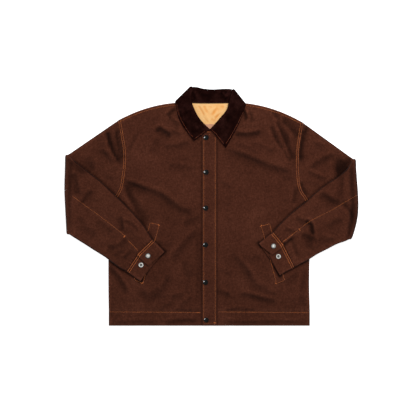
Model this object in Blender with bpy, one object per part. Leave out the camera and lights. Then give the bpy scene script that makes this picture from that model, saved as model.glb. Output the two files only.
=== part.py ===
"""A brown canvas work jacket with a corduroy collar, laid flat with both sleeves folded over its fronts.

The jacket lies on the XY plane with its front up. +Y points to the collar and +X to the wearer's left.
The origin is under the middle of the laid garment, on the surface that it rests on.
Every size here is in millimetres, and add_object turns the points into metres.
Each cloth piece is a wall between an outside and an inside grid of points. The laid jacket is a back
wall, a little air and a front wall; the sleeves are such a pair too, folded over at the elbow.
"""

import math
from collections import namedtuple

import bmesh
import bpy
import numpy as np

MM = 0.001

# The cloth and how thick it lies
CLOTH = 2.4  # canvas with its lining
SEAM_GAP = 0.3
LAID = 8.0  # back wall, air and front wall together
HALF = LAID / 2
EDGE_REACH = 7.0  # how far in from a rounded edge the cloth lies flat
TURN_ANGLES = [math.radians(a) for a in (0, 30, 60, 90)]
ARMHOLE_GAP = 0.4

# The elbow fold
FOLD_RADIUS = 5.2  # of the sleeve's middle plane
FOLD_STEPS = 5
FOREARM_MIDDLE = HALF + 2 * FOLD_RADIUS

# The front closing and the hem
HEM_BOTTOM = -363.2
HEM_TOP = -319.0
PLACKET_LEFT, PLACKET_RIGHT = -29.0, 17.0
PLACKET_TOP = 229.0
PLACKET_GRID = (4, 22)
WAVE_LENGTH, WAVE_HEIGHT = 57.0, 0.5  # the placket's slight waves
WELT_CLOTH, WELT_GAP = 1.4, 0.5
WELT_ROWS = 13
LAP_LIFT = CLOTH + SEAM_GAP  # the left front climbs over the right front's edge
LAP_END, LAP_RAMP = 64.0, 34.0
UNDERLAP_EDGE = 24.0  # the right front goes on under the left one to here

# Grids
SIDE_ROWS = 8  # from hem seam to armpit
# A front's columns, as parts of the way from its side to its front edge
FRONT_COLUMNS = [0, 0.06, 0.13, 0.21, 0.3, 0.4, 0.51, 0.63, 0.74, 0.83, 0.91, 0.965, 1]
# The back's columns, in X at the shoulder tips' height, close together by the neck seam's ends
BACK_COLUMN_PLACES = [-235, -190, -145, -105, -79, -62, -22, 22, 58, 76, 100, 140, 185, 230]
SLEEVE_COLUMNS = 9  # spaces between a sleeve's two edges
SEAM_COLUMN = 5  # the sleeve's back seam, counted from the underarm
UPPER_ARM_SHARES = (0.0, 0.3, 0.65)
CUFF_COLUMNS = 4  # in each quarter of a cuff

CANVAS, CORDUROY, SATIN = "canvas", "corduroy", "satin"
LABEL, BLACK_METAL, STEEL = "label_cloth", "black_metal", "steel"
COLOURS = {  # base colour, roughness, metallic
    CANVAS: ((0.063, 0.022, 0.013, 1), 0.85, 0.0),
    CORDUROY: ((0.012, 0.004, 0.003, 1), 0.9, 0.0),
    SATIN: ((0.88, 0.48, 0.19, 1), 0.45, 0.0),
    LABEL: ((0.68, 0.33, 0.18, 1), 0.7, 0.0),
    BLACK_METAL: ((0.01, 0.011, 0.011, 1), 0.25, 0.8),
    STEEL: ((0.6, 0.6, 0.56, 1), 0.3, 1.0),
}

Side = namedtuple(
    "Side", "name out seam armhole front_edge neckline rise fold fold_seam_share forearm cuff welt"
)
Forearm = namedtuple("Forearm", "low_x low_y seam_x seam_y top_x top_y")
Cuff = namedtuple("Cuff", "low_x low_y under_x under_y middle_x middle_y lap_x lap_y top_x top_y")
Crease = namedtuple("Crease", "x0 y0 x1 y1 half_width height")

WEARERS_RIGHT = Side(
    name="right",
    out=-1,
    seam=[(-313, -319), (-314, -239), (-314, -163), (-313, -87), (-311, -32), (-308, 15)],
    armhole=[(-308, 15), (-291, 35), (-279, 57), (-274, 84), (-270, 114), (-268, 151), (-270, 181),
             (-276, 217), (-284, 263)],
    front_edge=UNDERLAP_EDGE,
    neckline=[(UNDERLAP_EDGE, 222), (-18, 237), (-39, 258), (-55, 284), (-74, 317)],
    rise=15,
    fold=[(-442, -85), (-445, -26), (-448.6, 50), (-447, 111), (-446, 158)],
    fold_seam_share=0.55,
    forearm=[
        Forearm(-416, -96, -418, 27, -414, 136),
        Forearm(-387, -114, -384, 2, -375, 105),
        Forearm(-356, -134, -348, -25, -338, 77),
        Forearm(-325, -153, -312, -52, -303, 44),
        Forearm(-300, -172, -285, -74, -268, 10),
        Forearm(-284, -184, -264, -91, -235, -23),
        Forearm(-270, -192, -244, -115, -205, -59),
        Forearm(-258, -198, -226, -145, -179, -100),
    ],
    cuff=[
        Cuff(-258, -198, -217, -136, -226, -145, -228, -148, -179, -100),
        Cuff(-237, -213, -200, -155, -202, -162, -210, -164, -161, -118),
        Cuff(-217, -228, -182, -174, -181, -181, -192, -180, -143, -137),
    ],
    welt=[(-236, -224), (-208, -235), (-158, -56), (-187, -49)],
)
WEARERS_LEFT = Side(
    name="left",
    out=1,
    seam=[(300, -319), (298, -239), (299, -163), (299, -87), (299, -32), (298, 12)],
    armhole=[(298, 12), (289, 29), (275, 50), (269, 75), (266, 112), (266, 149), (268, 187),
             (274, 224), (279, 256)],
    front_edge=PLACKET_RIGHT + SEAM_GAP,
    neckline=[(PLACKET_RIGHT + SEAM_GAP, 242), (40, 270), (55, 291), (72, 317)],
    rise=14.5,
    fold=[(428, -100), (441, -59), (448, -17), (448, 29), (445, 72), (442, 111), (441, 145)],
    fold_seam_share=0.55,
    forearm=[
        Forearm(407, -106, 417, 16, 415, 116),
        Forearm(382, -114, 384, -3, 389, 92),
        Forearm(352, -130, 350, -21, 352, 70),
        Forearm(320, -146, 320, -37, 318, 43),
        Forearm(296, -162, 294, -51, 286, 14),
        Forearm(278, -171, 268, -71, 251, -13),
        Forearm(264, -179, 244, -91, 219, -42),
        Forearm(253, -185, 221, -116, 187, -77),
    ],
    cuff=[
        Cuff(253, -185, 214, -108, 221, -116, 222, -119, 187, -77),
        Cuff(231, -197, 193, -126, 199, -138, 203, -134, 166, -94),
        Cuff(209, -210, 176, -148, 178, -160, 185, -147, 145, -112),
    ],
    welt=[(198, -235), (224, -226), (178, -52), (151, -59)],
)
NECK_Y = 315.5  # the straight back neck seam
SHOULDER_NECK = {"right": (-74, 317), "left": (72, 317)}

# Ridges of the canvas on the fronts and upper sleeves, and on the forearms
FRONT_CREASES = [
    Crease(-266, 78, -66, -18, 21, 6.0),
    Crease(-258, 36, -214, -10, 15, 5.6),
    Crease(-232, 34, -150, 10, 13, -1.5),
    Crease(-160, 252, -108, 210, 21, 4.4),
    Crease(-66, -58, -138, -98, 20, 3.6),
    Crease(-150, -262, -62, -290, 20, 3.4),
    Crease(-300, -280, -222, -266, 17, 2.6),
    Crease(-312, 236, -292, 124, 17, 6.0),
    Crease(-392, 178, -318, 120, 19, 5.0),
    Crease(176, 276, 238, 146, 18, 5.6),
    Crease(216, 262, 256, 150, 13, 3.6),
    Crease(86, 172, 255, 126, 21, 4.2),
    Crease(62, -186, 130, -240, 20, 3.8),
    Crease(110, -275, 190, -292, 18, 3.2),
    Crease(230, -282, 290, -258, 17, 2.6),
    Crease(300, 205, 392, 130, 18, 5.4),
]
FOREARM_CREASES = [
    Crease(-398, 66, -352, 12, 17, 4.8),
    Crease(-420, 30, -400, -50, 16, 3.6),
    Crease(-330, 20, -262, -50, 16, 4.6),
    Crease(-352, -96, -292, -120, 15, 3.4),
    Crease(-290, -52, -246, -92, 12, 4.4),
    Crease(-284, -100, -250, -122, 10, 3.0),
    Crease(402, 62, 352, 34, 17, 4.6),
    Crease(412, -10, 392, -78, 16, 4.0),
    Crease(330, 20, 262, -30, 15, 4.0),
    Crease(300, -54, 322, -92, 13, 4.6),
    Crease(352, -84, 290, -130, 14, 3.2),
]

# The collar, in plan: the roll line round the opening and the free outer edge of each leaf, from the
# front closing to the shoulder, and the same two lines behind the neck, from the wearer's right to left
ROLL_RIGHT = [(-4.4, 235.5), (-21, 251), (-34, 265), (-44, 280), (-52, 298), (-60, 316), (-64, 340),
              (-65, 363)]
EDGE_RIGHT = [(-53, 199), (-64, 212), (-79, 232), (-94, 255), (-104, 278), (-108, 299), (-110, 322)]
ROLL_LEFT = [(-3.4, 236.5), (17, 259), (34, 279), (45, 291), (50, 303), (53, 316), (60, 337), (65, 356)]
EDGE_LEFT = [(44, 177.5), (59, 205), (72, 227), (84, 252), (97, 281), (104, 299), (105, 315)]
ROLL_BACK = [(-65, 363), (-42, 363), (-23, 359.5), (-1, 357), (17, 358), (41, 361), (65, 356)]
EDGE_BACK = [(-98, 327), (-72, 325), (0, 322), (72, 324), (91, 321)]
LEAF_CLOTH = 2.6
LEAF_ROWS, LEAF_BACK_ROWS, LEAF_FOLD_ROWS = 9, 8, 5
LEAF_COLUMNS = 5  # flat ones, before those of the roll
LEAF_ARCH = 3.4
LEAF_LIFT, LEAF_LIFT_END, LEAF_LIFT_RAMP = 3.3, 88.0, 54.0  # over the placket and the lap
LEAF_FOLD_HALF = 5.8  # half the height of the leaf's fold round the shoulder
LEAF_INSET_START = 0.55  # the leaf draws in towards that fold from this part of its length
ROLL_REACH, ROLL_DROP = 6.0, 4.6  # how the roll turns down at the opening
ROLL_BACK_RISE = 3.6  # and how it turns up behind the neck
STAND_BOTTOM = [(-86, 319.5), (-66, 320), (-56, 317.5), (0, 316.5), (52, 317), (62, 319.5), (80, 319.5)]
STAND_TOP = [(-71, 350), (-58, 361.5), (-40, 361.5), (-22, 358.3), (-1, 355.8), (17, 356.8), (38, 359.6),
             (55, 357.5), (63, 345)]
STAND_CLOTH = 2.3
STAND_LOW, STAND_HIGH, STAND_CROWN = 6.3, 6.8, 2.8  # height of its top at its two edges, and its arch
STAND_SIDE_START, STAND_SIDE_RAMP = 0.34, 0.12  # where the arch fades under the leaf's side folds
STAND_COLUMNS = 15
STAND_ROWS = [0, 0.2, 0.45, 0.7, 0.88, 1]
FRONT_END_CORNERS = [[(-19, 229.3), (9, 229.3)], [(-8, 236.4), (1, 236.4)]]

# The lining that shows in the neck, and the blank label sewn on it
LINING_WALL = 1.0
LINING_CORNERS = (-62, 195, 60, 318.6)
LINING_CREASES = [  # they run out from the middle of the neck
    Crease(-30, 308, -8, 262, 5, 1.5),
    Crease(-44, 300, -24, 268, 4, 1.1),
    Crease(22, 306, 8, 268, 5, 1.4),
    Crease(40, 296, 14, 256, 4, 1.2),
    Crease(-4, 306, 2, 280, 5, 1.0),
]
LINING_GRID = (15, 13)
# The V in which the lining is free to crease: its point, its slope and how fast the creases fade
NECK_POINT_Y, NECK_SLOPE, NECK_FADE = 234.0, 0.64, 10.0
LINING_FREE_TOP, LINING_TOP_FADE = 311.5, 8.0
LABEL_WALL = 0.5
LABEL_CORNERS = (-24, 221, 22, 251)

# Snap fasteners
SNAP_CENTRES = [(-16, 210), (-16, 104), (-17, -5), (-18, -117), (-18, -231), (-16, -346)]
CUFF_CAPS = {"right": (-193, -150), "left": (189, -120)}
CUFF_SOCKETS = {"right": (-214, -178), "left": (204, -152)}
SNAP_RADIUS, SNAP_HEIGHT = 7.9, 3.4
SNAP_SIDES = 12
SOCKET_HEIGHT = 2.4
# Profiles as (part of the radius, part of the height)
CAP_PROFILE = [(0, 0), (0.92, 0), (1.0, 0.16), (0.93, 0.42), (0.74, 0.72), (0.42, 0.93), (0, 1)]
SOCKET_PROFILE = [(0, 0), (1.0, 0), (1.0, 0.45), (0.86, 0.75), (0.62, 0.8), (0.4, 0.62), (0.3, 0.25),
                  (0, 0.25)]


def smooth_step(share):
    """0 below 0, 1 above 1 and an even turn between."""
    share = np.clip(share, 0, 1)
    return share * share * (3 - 2 * share)


class Curve:
    """A line in plan through a few points, read by the distance along it."""

    PER_SPAN = 8

    def __init__(self, points, smooth=True):
        points = np.array(points, float)
        self.points = self.smoothed(points) if smooth and len(points) > 2 else points
        steps = np.linalg.norm(np.diff(self.points, axis=0), axis=1)
        self.reach = np.concatenate([[0], np.cumsum(steps)])
        self.length = self.reach[-1]

    def smoothed(self, points):
        """The points joined by Catmull-Rom spans."""
        ends = np.vstack([2 * points[0] - points[1], points, 2 * points[-1] - points[-2]])
        found = []
        for a, b, c, d in zip(ends, ends[1:], ends[2:], ends[3:]):
            for t in np.arange(self.PER_SPAN) / self.PER_SPAN:
                found.append(
                    0.5 * (2 * b + (c - a) * t + (2 * a - 5 * b + 4 * c - d) * t**2
                           + (3 * b - a - 3 * c + d) * t**3)
                )
        return np.array(found + [points[-1]])

    def at(self, distance):
        """The point this far along."""
        return np.array([np.interp(distance, self.reach, self.points[:, k]) for k in (0, 1)])

    def share(self, part):
        """The point this part of the way along."""
        return self.at(part * self.length)


def turn_outside(angle):
    """How far in from its edge the outside of a rounding wall has come at this angle."""
    return EDGE_REACH * (1 - math.cos(angle))


def turn_inside(angle):
    """The same for the inside of the wall."""
    return EDGE_REACH - (EDGE_REACH - CLOTH) * math.cos(angle)


def height_outside(share, gap=SEAM_GAP / 2):
    """Height of the outside from the middle plane, where share is 0 at the edge and 1 where it lies flat."""
    return gap + (HALF - gap) * share


def height_inside(share, gap=SEAM_GAP / 2):
    return gap + (HALF - CLOTH - gap) * share


def crease_height(creases, x, y):
    """The summed height of soft ridges at a point, each fading towards its ends."""
    total = 0.0
    for crease in creases:
        start = np.array((crease.x0, crease.y0), float)
        run = np.array((crease.x1, crease.y1), float) - start
        length = np.linalg.norm(run)
        along = float(np.dot((x, y) - start, run)) / length
        across = float(np.cross(run, (x, y) - start)) / length
        beyond = max(0.0, -along, along - length)
        middle = 1 - (2 * np.clip(along / length, 0, 1) - 1) ** 2
        fade = 0.35 + 0.65 * middle
        total += crease.height * fade * math.exp(-(across**2 + beyond**2) / crease.half_width**2)
    return total


def front_lift(x, y):
    """How much higher than flat the fronts and upper sleeves lie."""
    return crease_height(FRONT_CREASES, x, y)


def lapped_lift(x, y):
    """The same for the left front, which climbs over the edge of the right one."""
    return front_lift(x, y) + LAP_LIFT * smooth_step((LAP_END - x) / LAP_RAMP)


def panel_lift(side):
    return lapped_lift if side.out > 0 else front_lift


def forearm_lift(x, y):
    return crease_height(FOREARM_CREASES, x, y)


def add_material(slot):
    """The shared material of a slot."""
    material = bpy.data.materials.get(slot)
    if material is None:
        colour, roughness, metallic = COLOURS[slot]
        material = bpy.data.materials.new(slot)
        material.use_nodes = True
        shader = material.node_tree.nodes["Principled BSDF"]
        shader.inputs["Base Color"].default_value = colour
        shader.inputs["Roughness"].default_value = roughness
        shader.inputs["Metallic"].default_value = metallic
        material.diffuse_color = colour
    return material


def add_object(name, shape, slot):
    """Makes one named object of a closed bmesh in millimetres, with its faces pointing out."""
    bmesh.ops.scale(shape, vec=(MM, MM, MM), verts=shape.verts)
    bmesh.ops.recalc_face_normals(shape, faces=shape.faces)
    mesh = bpy.data.meshes.new(name)
    shape.to_mesh(mesh)
    shape.free()
    mesh.shade_smooth()
    mesh.set_sharp_from_angle(angle=math.radians(50))
    mesh.materials.append(add_material(slot))
    made = bpy.data.objects.new(name, mesh)
    bpy.context.scene.collection.objects.link(made)
    return made


def add_wall(name, outside, inside, slot):
    """A closed wall: a grid drawn out into a second one, each set to its own rows of points."""
    outer, inner = (np.array(sheet, float) for sheet in (outside, inside))
    rows, columns = outer.shape[:2]
    shape = bmesh.new()
    place = shape.verts.layers.int.new("place")
    grid = bmesh.ops.create_grid(shape, x_segments=columns - 1, y_segments=rows - 1, size=1)
    for n, vert in enumerate(grid["verts"]):
        vert[place] = n
    drawn = bmesh.ops.extrude_face_region(shape, geom=list(shape.faces), use_keep_orig=True)
    for vert in shape.verts:
        vert.co = outer.reshape(-1, 3)[vert[place]]
    for vert in drawn["geom"]:
        if isinstance(vert, bmesh.types.BMVert):
            vert.co = inner.reshape(-1, 3)[vert[place]]
    return add_object(name, shape, slot)


# ---------------------------------------------------------------- fronts, back and hem bands

Row = namedtuple("Row", "outside inside armpit shoulder on_armhole")
SEAM_ROW = Row(0, 0, TURN_ANGLES[0], TURN_ANGLES[-1], False)


def armhole_rows(length):
    """Where the rows and the sleeve's columns meet an armhole, as distances from the armpit.
    Its two ends round off, so the wall's outside and inside stand at different distances there."""
    flat = TURN_ANGLES[-1]
    rows = [Row(turn_outside(a), turn_inside(a), a, flat, True) for a in TURN_ANGLES]
    for k in range(1, SLEEVE_COLUMNS):
        distance = column_distance(length, length * SEAM_COLUMN / SLEEVE_COLUMNS, k)
        rows.append(Row(distance, distance, flat, flat, True))
    for angle in reversed(TURN_ANGLES):
        rows.append(Row(length - turn_outside(angle), length - turn_inside(angle), flat, angle, True))
    return rows


def column_distance(length, seam, k):
    """Distance from the low edge of column k of a sleeve section whose back seam is at seam."""
    if k <= SEAM_COLUMN:
        return seam * k / SEAM_COLUMN
    return seam + (length - seam) * (k - SEAM_COLUMN) / (SLEEVE_COLUMNS - SEAM_COLUMN)


def shoulder_bulge(side, part):
    """How far the shoulder line stands above its chord, part of the way from tip to neck."""
    return 4 * side.rise * part * (1 - part)


def wall_point(plan, layer, height, lift=0.0):
    return (plan[0], plan[1], HALF + layer * height + lift)


def edge_shape(row, angle, at_edge):
    """How flat a column of a row lies, and what part of a full step its inside stands in from the edge.
    An edge rounds off along the side seam, at the armpit and at the shoulder, but not along the armhole."""
    armpit, shoulder = math.sin(row.armpit), math.sin(row.shoulder)
    if at_edge:
        return min(armpit, shoulder), 0.0 if row.on_armhole else 1.0
    return min(shoulder, max(math.sin(angle), armpit)), math.cos(row.armpit)


def rises_with_shoulder(row, length):
    """0 in the lower half of the armhole and 1 near the shoulder."""
    return float(smooth_step((row.outside / length - 0.5) / 0.42))


def front_row(side, ends, row, bulge):
    """One row of a front from its side edge to its front edge, as (outside, inside) points.
    ends are the (start, stop) points of its outside and of its inside."""
    lift = panel_lift(side)
    outside, inside = [], []
    columns = [(angle, 0) for angle in TURN_ANGLES] + [(TURN_ANGLES[-1], part) for part in FRONT_COLUMNS[1:]]
    for j, (angle, flat_part) in enumerate(columns):
        flatness, step = edge_shape(row, angle, j == 0)
        plans = []
        for (start, stop), stepped in zip(ends, (0.0, step)):
            length = np.linalg.norm(stop - start)
            turned = turn_outside(angle) + (turn_inside(angle) - turn_outside(angle)) * stepped
            part = (turned + (length - EDGE_REACH) * flat_part) / length
            plans.append(start + (stop - start) * part + (0, bulge * shoulder_bulge(side, part)))
        raised = lift(*plans[0]) * flatness
        outside.append(wall_point(plans[0], 1, height_outside(flatness), raised))
        inside.append(wall_point(plans[1], 1, height_inside(flatness), raised))
    return outside, inside


def side_seam_rows(side, low, high, seam, count):
    """The rows of a front between two heights of its front edge, along its side seam."""
    rows = []
    for part in np.linspace(0, 1, count):
        ends = (seam.share(part), np.array((side.front_edge, low + (high - low) * part)))
        rows.append(front_row(side, (ends, ends), SEAM_ROW, 0))
    return rows


def add_panel(name, rows):
    """A canvas piece from its rows of (outside, inside) points."""
    add_wall(name, [outside for outside, _ in rows], [inside for _, inside in rows], CANVAS)


def add_front(side):
    """A front: rows from the hem up to the armpit, then rows that fan round to the shoulder seam."""
    armhole = Curve(side.armhole)
    armpit_y = side.armhole[0][1]
    neck = Curve([(side.front_edge, armpit_y)] + side.neckline, smooth=False)
    fan = neck.length / armhole.length
    rows = side_seam_rows(side, HEM_TOP, armpit_y, Curve(side.seam), SIDE_ROWS + 1)[:-1]
    for row in armhole_rows(armhole.length):
        reaches = [row.outside * fan, row.outside * fan]
        if row.shoulder < TURN_ANGLES[-1]:
            reaches = [neck.length - turn(row.shoulder) for turn in (turn_outside, turn_inside)]
        starts = [armhole.at(row.outside), armhole.at(row.inside)]
        ends = [(start, neck.at(reach)) for start, reach in zip(starts, reaches)]
        rows.append(front_row(side, ends, row, rises_with_shoulder(row, armhole.length)))
    add_panel("front_" + side.name, rows)


def add_front_band(side):
    """The hem band under a front."""
    x = side.seam[0][0]
    low, high = HEM_BOTTOM, HEM_TOP - SEAM_GAP
    add_panel("hem_band_" + side.name, side_seam_rows(side, low, high, Curve([(x, low), (x, high)]), 3))


def back_top(x):
    """The upper outline of the back: shoulders, and the neck seam between them."""
    for side in (WEARERS_RIGHT, WEARERS_LEFT):
        neck_x, neck_y = SHOULDER_NECK[side.name]
        tip_x, tip_y = side.armhole[-1]
        if side.out * x > side.out * neck_x:
            part = np.clip((x - tip_x) / (neck_x - tip_x), 0, 1)
            return tip_y + (neck_y - tip_y) * part + shoulder_bulge(side, part)
    return NECK_Y


def back_columns():
    """The back's columns as (part of the way across, angle of the rounding, which edge)."""
    width = WEARERS_LEFT.seam[0][0] - WEARERS_RIGHT.seam[0][0]
    tips = [side.armhole[-1][0] for side in (WEARERS_RIGHT, WEARERS_LEFT)]
    columns = [(turn_outside(angle) / width, angle, 1) for angle in TURN_ANGLES]
    columns += [((x - tips[0]) / (tips[1] - tips[0]), TURN_ANGLES[-1], 0) for x in BACK_COLUMN_PLACES]
    columns += [(1 - turn_outside(angle) / width, angle, -1) for angle in reversed(TURN_ANGLES)]
    return columns


def back_row(outer_ends, inner_ends, row, rise):
    """One row across the back, from the wearer's right to the left, as (outside, inside) points."""
    tips = [np.array(side.armhole[-1], float) for side in (WEARERS_RIGHT, WEARERS_LEFT)]
    outside, inside = [], []
    for part, angle, edge in back_columns():
        chord = tips[0] + (tips[1] - tips[0]) * part
        lift = (0, rise * (back_top(chord[0]) - chord[1]))
        flatness, step = edge_shape(row, angle, part in (0, 1))
        plan, inner = [ends[0] + (ends[1] - ends[0]) * part for ends in (outer_ends, inner_ends)]
        if SHOULDER_NECK["right"][0] < chord[0] < SHOULDER_NECK["left"][0]:
            flatness, inner = 1.0, plan
        inner = inner + (edge * step * (turn_inside(angle) - turn_outside(angle)), 0)
        outside.append(wall_point(plan + lift, -1, height_outside(flatness)))
        inside.append(wall_point(inner + lift, -1, height_inside(flatness)))
    return outside, inside


def add_back():
    """The back, in one piece, flat where it rests."""
    seams = [Curve(side.seam) for side in (WEARERS_RIGHT, WEARERS_LEFT)]
    holes = [Curve(side.armhole) for side in (WEARERS_RIGHT, WEARERS_LEFT)]
    rows = []
    for i in range(SIDE_ROWS):
        ends = [seam.share(i / SIDE_ROWS) for seam in seams]
        rows.append(back_row(ends, ends, SEAM_ROW, 0))
    for pair in zip(*(armhole_rows(hole.length) for hole in holes)):
        outer = [hole.at(row.outside) for hole, row in zip(holes, pair)]
        inner = [hole.at(row.inside) for hole, row in zip(holes, pair)]
        rows.append(back_row(outer, inner, pair[0], rises_with_shoulder(pair[0], holes[0].length)))
    add_panel("back", rows)


def add_back_band():
    """The hem band under the back, all the way across."""
    rows = []
    for y in np.linspace(HEM_BOTTOM, HEM_TOP - SEAM_GAP, 3):
        ends = [np.array((side.seam[0][0], y)) for side in (WEARERS_RIGHT, WEARERS_LEFT)]
        rows.append(back_row(ends, ends, SEAM_ROW, 0))
    add_panel("hem_band_back", rows)


# ---------------------------------------------------------------- sleeves and cuffs

Column = namedtuple("Column", "edge angle k layer nudge")
Section = namedtuple("Section", "curve seam")
LOW, TOP = "low", "top"


def sleeve_columns():
    """The columns round a sleeve, for its front piece and for its back piece.
    The front piece runs from the underarm seam over the front, round the top and back to the back seam."""
    low = [Column(LOW, angle, 0, 1, 0) for angle in TURN_ANGLES]
    across = [Column(None, 0, k, 1, 0) for k in range(1, SLEEVE_COLUMNS)]
    top = [Column(TOP, angle, 0, 1, 0) for angle in reversed(TURN_ANGLES)]
    behind = [Column(TOP, angle, 0, -1, 0) for angle in TURN_ANGLES[1:]]
    behind += [Column(None, 0, k, -1, 0) for k in range(SLEEVE_COLUMNS - 1, SEAM_COLUMN, -1)]
    behind += [Column(None, 0, SEAM_COLUMN, -1, SEAM_GAP / 2)]
    under = [Column(None, 0, SEAM_COLUMN, -1, -SEAM_GAP / 2)]
    under += [Column(None, 0, k, -1, 0) for k in range(SEAM_COLUMN - 1, 0, -1)]
    under += [Column(LOW, angle, 0, -1, 0) for angle in reversed(TURN_ANGLES)]
    return {"front": low + across + top + behind, "back": under}


def section_point(section, column, inside):
    """(plan point, height from the sleeve's middle plane, how flat it lies) of a column on a section."""
    turn = turn_inside if inside else turn_outside
    height = height_inside if inside else height_outside
    if column.edge is None:
        distance = column_distance(section.curve.length, section.seam, column.k) + column.nudge
        return section.curve.at(distance), column.layer * height(1), 1.0
    flatness = math.sin(column.angle)
    if column.edge == LOW:
        return section.curve.at(turn(column.angle)), column.layer * height(flatness), flatness
    distance = section.curve.length - turn(column.angle)
    return section.curve.at(distance), column.layer * height(flatness, gap=0), flatness


def sleeve_point(side, plan, theta, height, lift):
    """A point of the sleeve at this height from its middle plane, turned by theta round the elbow fold."""
    radius = FOLD_RADIUS - height
    x = plan[0] + side.out * radius * math.sin(theta)
    z = HALF + FOLD_RADIUS - radius * math.cos(theta)
    return (x, plan[1], z + lift)


def upper_arm_row(side, share, ends, columns, inside):
    """A row of the upper arm, this share of the way from the armhole to the elbow fold."""
    points = []
    fade = 1 - smooth_step((share - 0.5) / 0.4)
    for column in columns:
        start, height, flatness = section_point(ends[0], column, inside)
        stop, _, _ = section_point(ends[1], column, inside)
        plan = start + (stop - start) * share
        lift = front_lift(*plan) * flatness * fade if column.layer > 0 else 0.0
        points.append(sleeve_point(side, plan, 0, height, lift))
    return points


def turned_row(side, section, theta, columns, inside, creased):
    """A row of the elbow fold, turned by theta, or of the forearm, turned right over."""
    points = []
    for column in columns:
        plan, height, flatness = section_point(section, column, inside)
        lift = forearm_lift(*plan) * flatness if creased and column.layer < 0 else 0.0
        points.append(sleeve_point(side, plan, theta, height, lift))
    return points


def add_sleeve(side):
    """A sleeve in the two pieces that it is cut in, joined at the underarm and along the back of the arm.
    Its rows run from the armhole to the elbow, round the fold there and down the forearm to the cuff seam."""
    hole = Curve([(x + side.out * ARMHOLE_GAP, y) for x, y in Curve(side.armhole).points], smooth=False)
    inward = side.out * (FOLD_RADIUS + HALF)
    fold = Curve([(x - inward, y) for x, y in side.fold])
    ends = [Section(hole, hole.length * SEAM_COLUMN / SLEEVE_COLUMNS),
            Section(fold, fold.length * side.fold_seam_share)]
    forearm = []
    for row in side.forearm:
        points = [(row.low_x, row.low_y), (row.seam_x, row.seam_y), (row.top_x, row.top_y)]
        curve = Curve(points, smooth=False)
        forearm.append(Section(curve, np.linalg.norm(np.subtract(points[1], points[0]))))
    for piece, columns in sleeve_columns().items():
        walls = []
        for inside in (False, True):
            rows = [upper_arm_row(side, share, ends, columns, inside) for share in UPPER_ARM_SHARES]
            for i in range(FOLD_STEPS + 1):
                theta = math.pi * i / FOLD_STEPS
                rows.append(turned_row(side, ends[1], theta, columns, inside, False))
            rows += [turned_row(side, section, math.pi, columns, inside, True) for section in forearm]
            walls.append(rows)
        add_wall(f"sleeve_{side.name}_{piece}", *walls, CANVAS)


def cuff_row(row, inside):
    """One section round a cuff: from the end that laps over, round under the wrist, to the end beneath it."""
    low, under, middle, lap, top = np.array(row, float).reshape(5, 2)
    height = height_inside(1, gap=0) if inside else height_outside(1, gap=0)
    wall = CLOTH if inside else 0.0
    to_low = (low - top) / np.linalg.norm(low - top)
    top_flat, low_flat = top + to_low * EDGE_REACH, low - to_low * EDGE_REACH

    def straight(start, stop, layer, first, last, raised=0.0):
        points = []
        for k in range(first, last):
            part = k / CUFF_COLUMNS
            plan = start + (stop - start) * part
            points.append((*plan, FOREARM_MIDDLE + layer * height + raised * (1 - smooth_step(part))))
        return points

    def rounded(corner, inward, layer):
        points = []
        for angle in [-a for a in reversed(TURN_ANGLES)] + TURN_ANGLES[1:]:
            plan = corner + inward * (EDGE_REACH - (EDGE_REACH - wall) * math.cos(angle))
            points.append((*plan, FOREARM_MIDDLE - layer * height * math.sin(angle)))
        return points

    return (
        straight(lap, top_flat, 1, 0, CUFF_COLUMNS, raised=CLOTH + SEAM_GAP)
        + rounded(top, to_low, 1)
        + straight(top_flat, middle, -1, 1, CUFF_COLUMNS)
        + straight(middle, low_flat, -1, 0, CUFF_COLUMNS)
        + rounded(low, -to_low, -1)
        + straight(low_flat, under, 1, 1, CUFF_COLUMNS + 1)
    )


def add_cuff(side):
    """A cuff, whose upper half laps over the lower one at the back of the wrist."""
    seam, middle = (np.array(row, float).reshape(5, 2) for row in side.cuff[:2])
    away = middle.mean(axis=0) - seam.mean(axis=0)
    rows = [seam + ARMHOLE_GAP * away / np.linalg.norm(away)] + side.cuff[1:]
    walls = [[cuff_row(row, inside) for row in rows] for inside in (False, True)]
    add_wall("cuff_" + side.name, *walls, CANVAS)


# ---------------------------------------------------------------- placket and pocket welts


def placket_top(y):
    """Height of the placket's outside, which waves a little between the snaps."""
    wave = (1 - math.cos(2 * math.pi * (y - SNAP_CENTRES[0][1]) / WAVE_LENGTH)) / 2
    return LAID + SEAM_GAP + CLOTH + WAVE_HEIGHT * wave


def add_strip(name, rows, thickness, slot):
    """A wall of this thickness straight down under a grid of points."""
    outside = np.array(rows, float)
    add_wall(name, outside, outside - (0, 0, thickness), slot)


def add_placket():
    """The strip that closes the front, over the right front's edge."""
    columns, rows = PLACKET_GRID
    across = np.linspace(PLACKET_LEFT, PLACKET_RIGHT, columns)
    along = np.linspace(HEM_BOTTOM, PLACKET_TOP, rows)
    add_strip("placket", [[(x, y, placket_top(y)) for x in across] for y in along], CLOTH, CANVAS)


def add_welt(side):
    """A pocket welt: a stitched strip that lies on the front."""
    low_out, low_in, high_in, high_out = (np.array(corner, float) for corner in side.welt)
    rows = []
    for part in np.linspace(0, 1, WELT_ROWS):
        start = low_out + (high_out - low_out) * part
        stop = low_in + (high_in - low_in) * part
        plans = [start, (start + stop) / 2, stop]
        rows.append([(*plan, LAID + front_lift(*plan) + WELT_GAP + WELT_CLOTH) for plan in plans])
    add_strip("pocket_welt_" + side.name, rows, WELT_CLOTH, CANVAS)


# ---------------------------------------------------------------- collar


def height_under_leaf(x, y):
    """The height of what a collar leaf lies on: the fronts, and the placket between them."""
    near_placket = smooth_step((LEAF_LIFT_END - abs(x)) / LEAF_LIFT_RAMP)
    return LAID + front_lift(x, y) + LEAF_LIFT * near_placket


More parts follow.
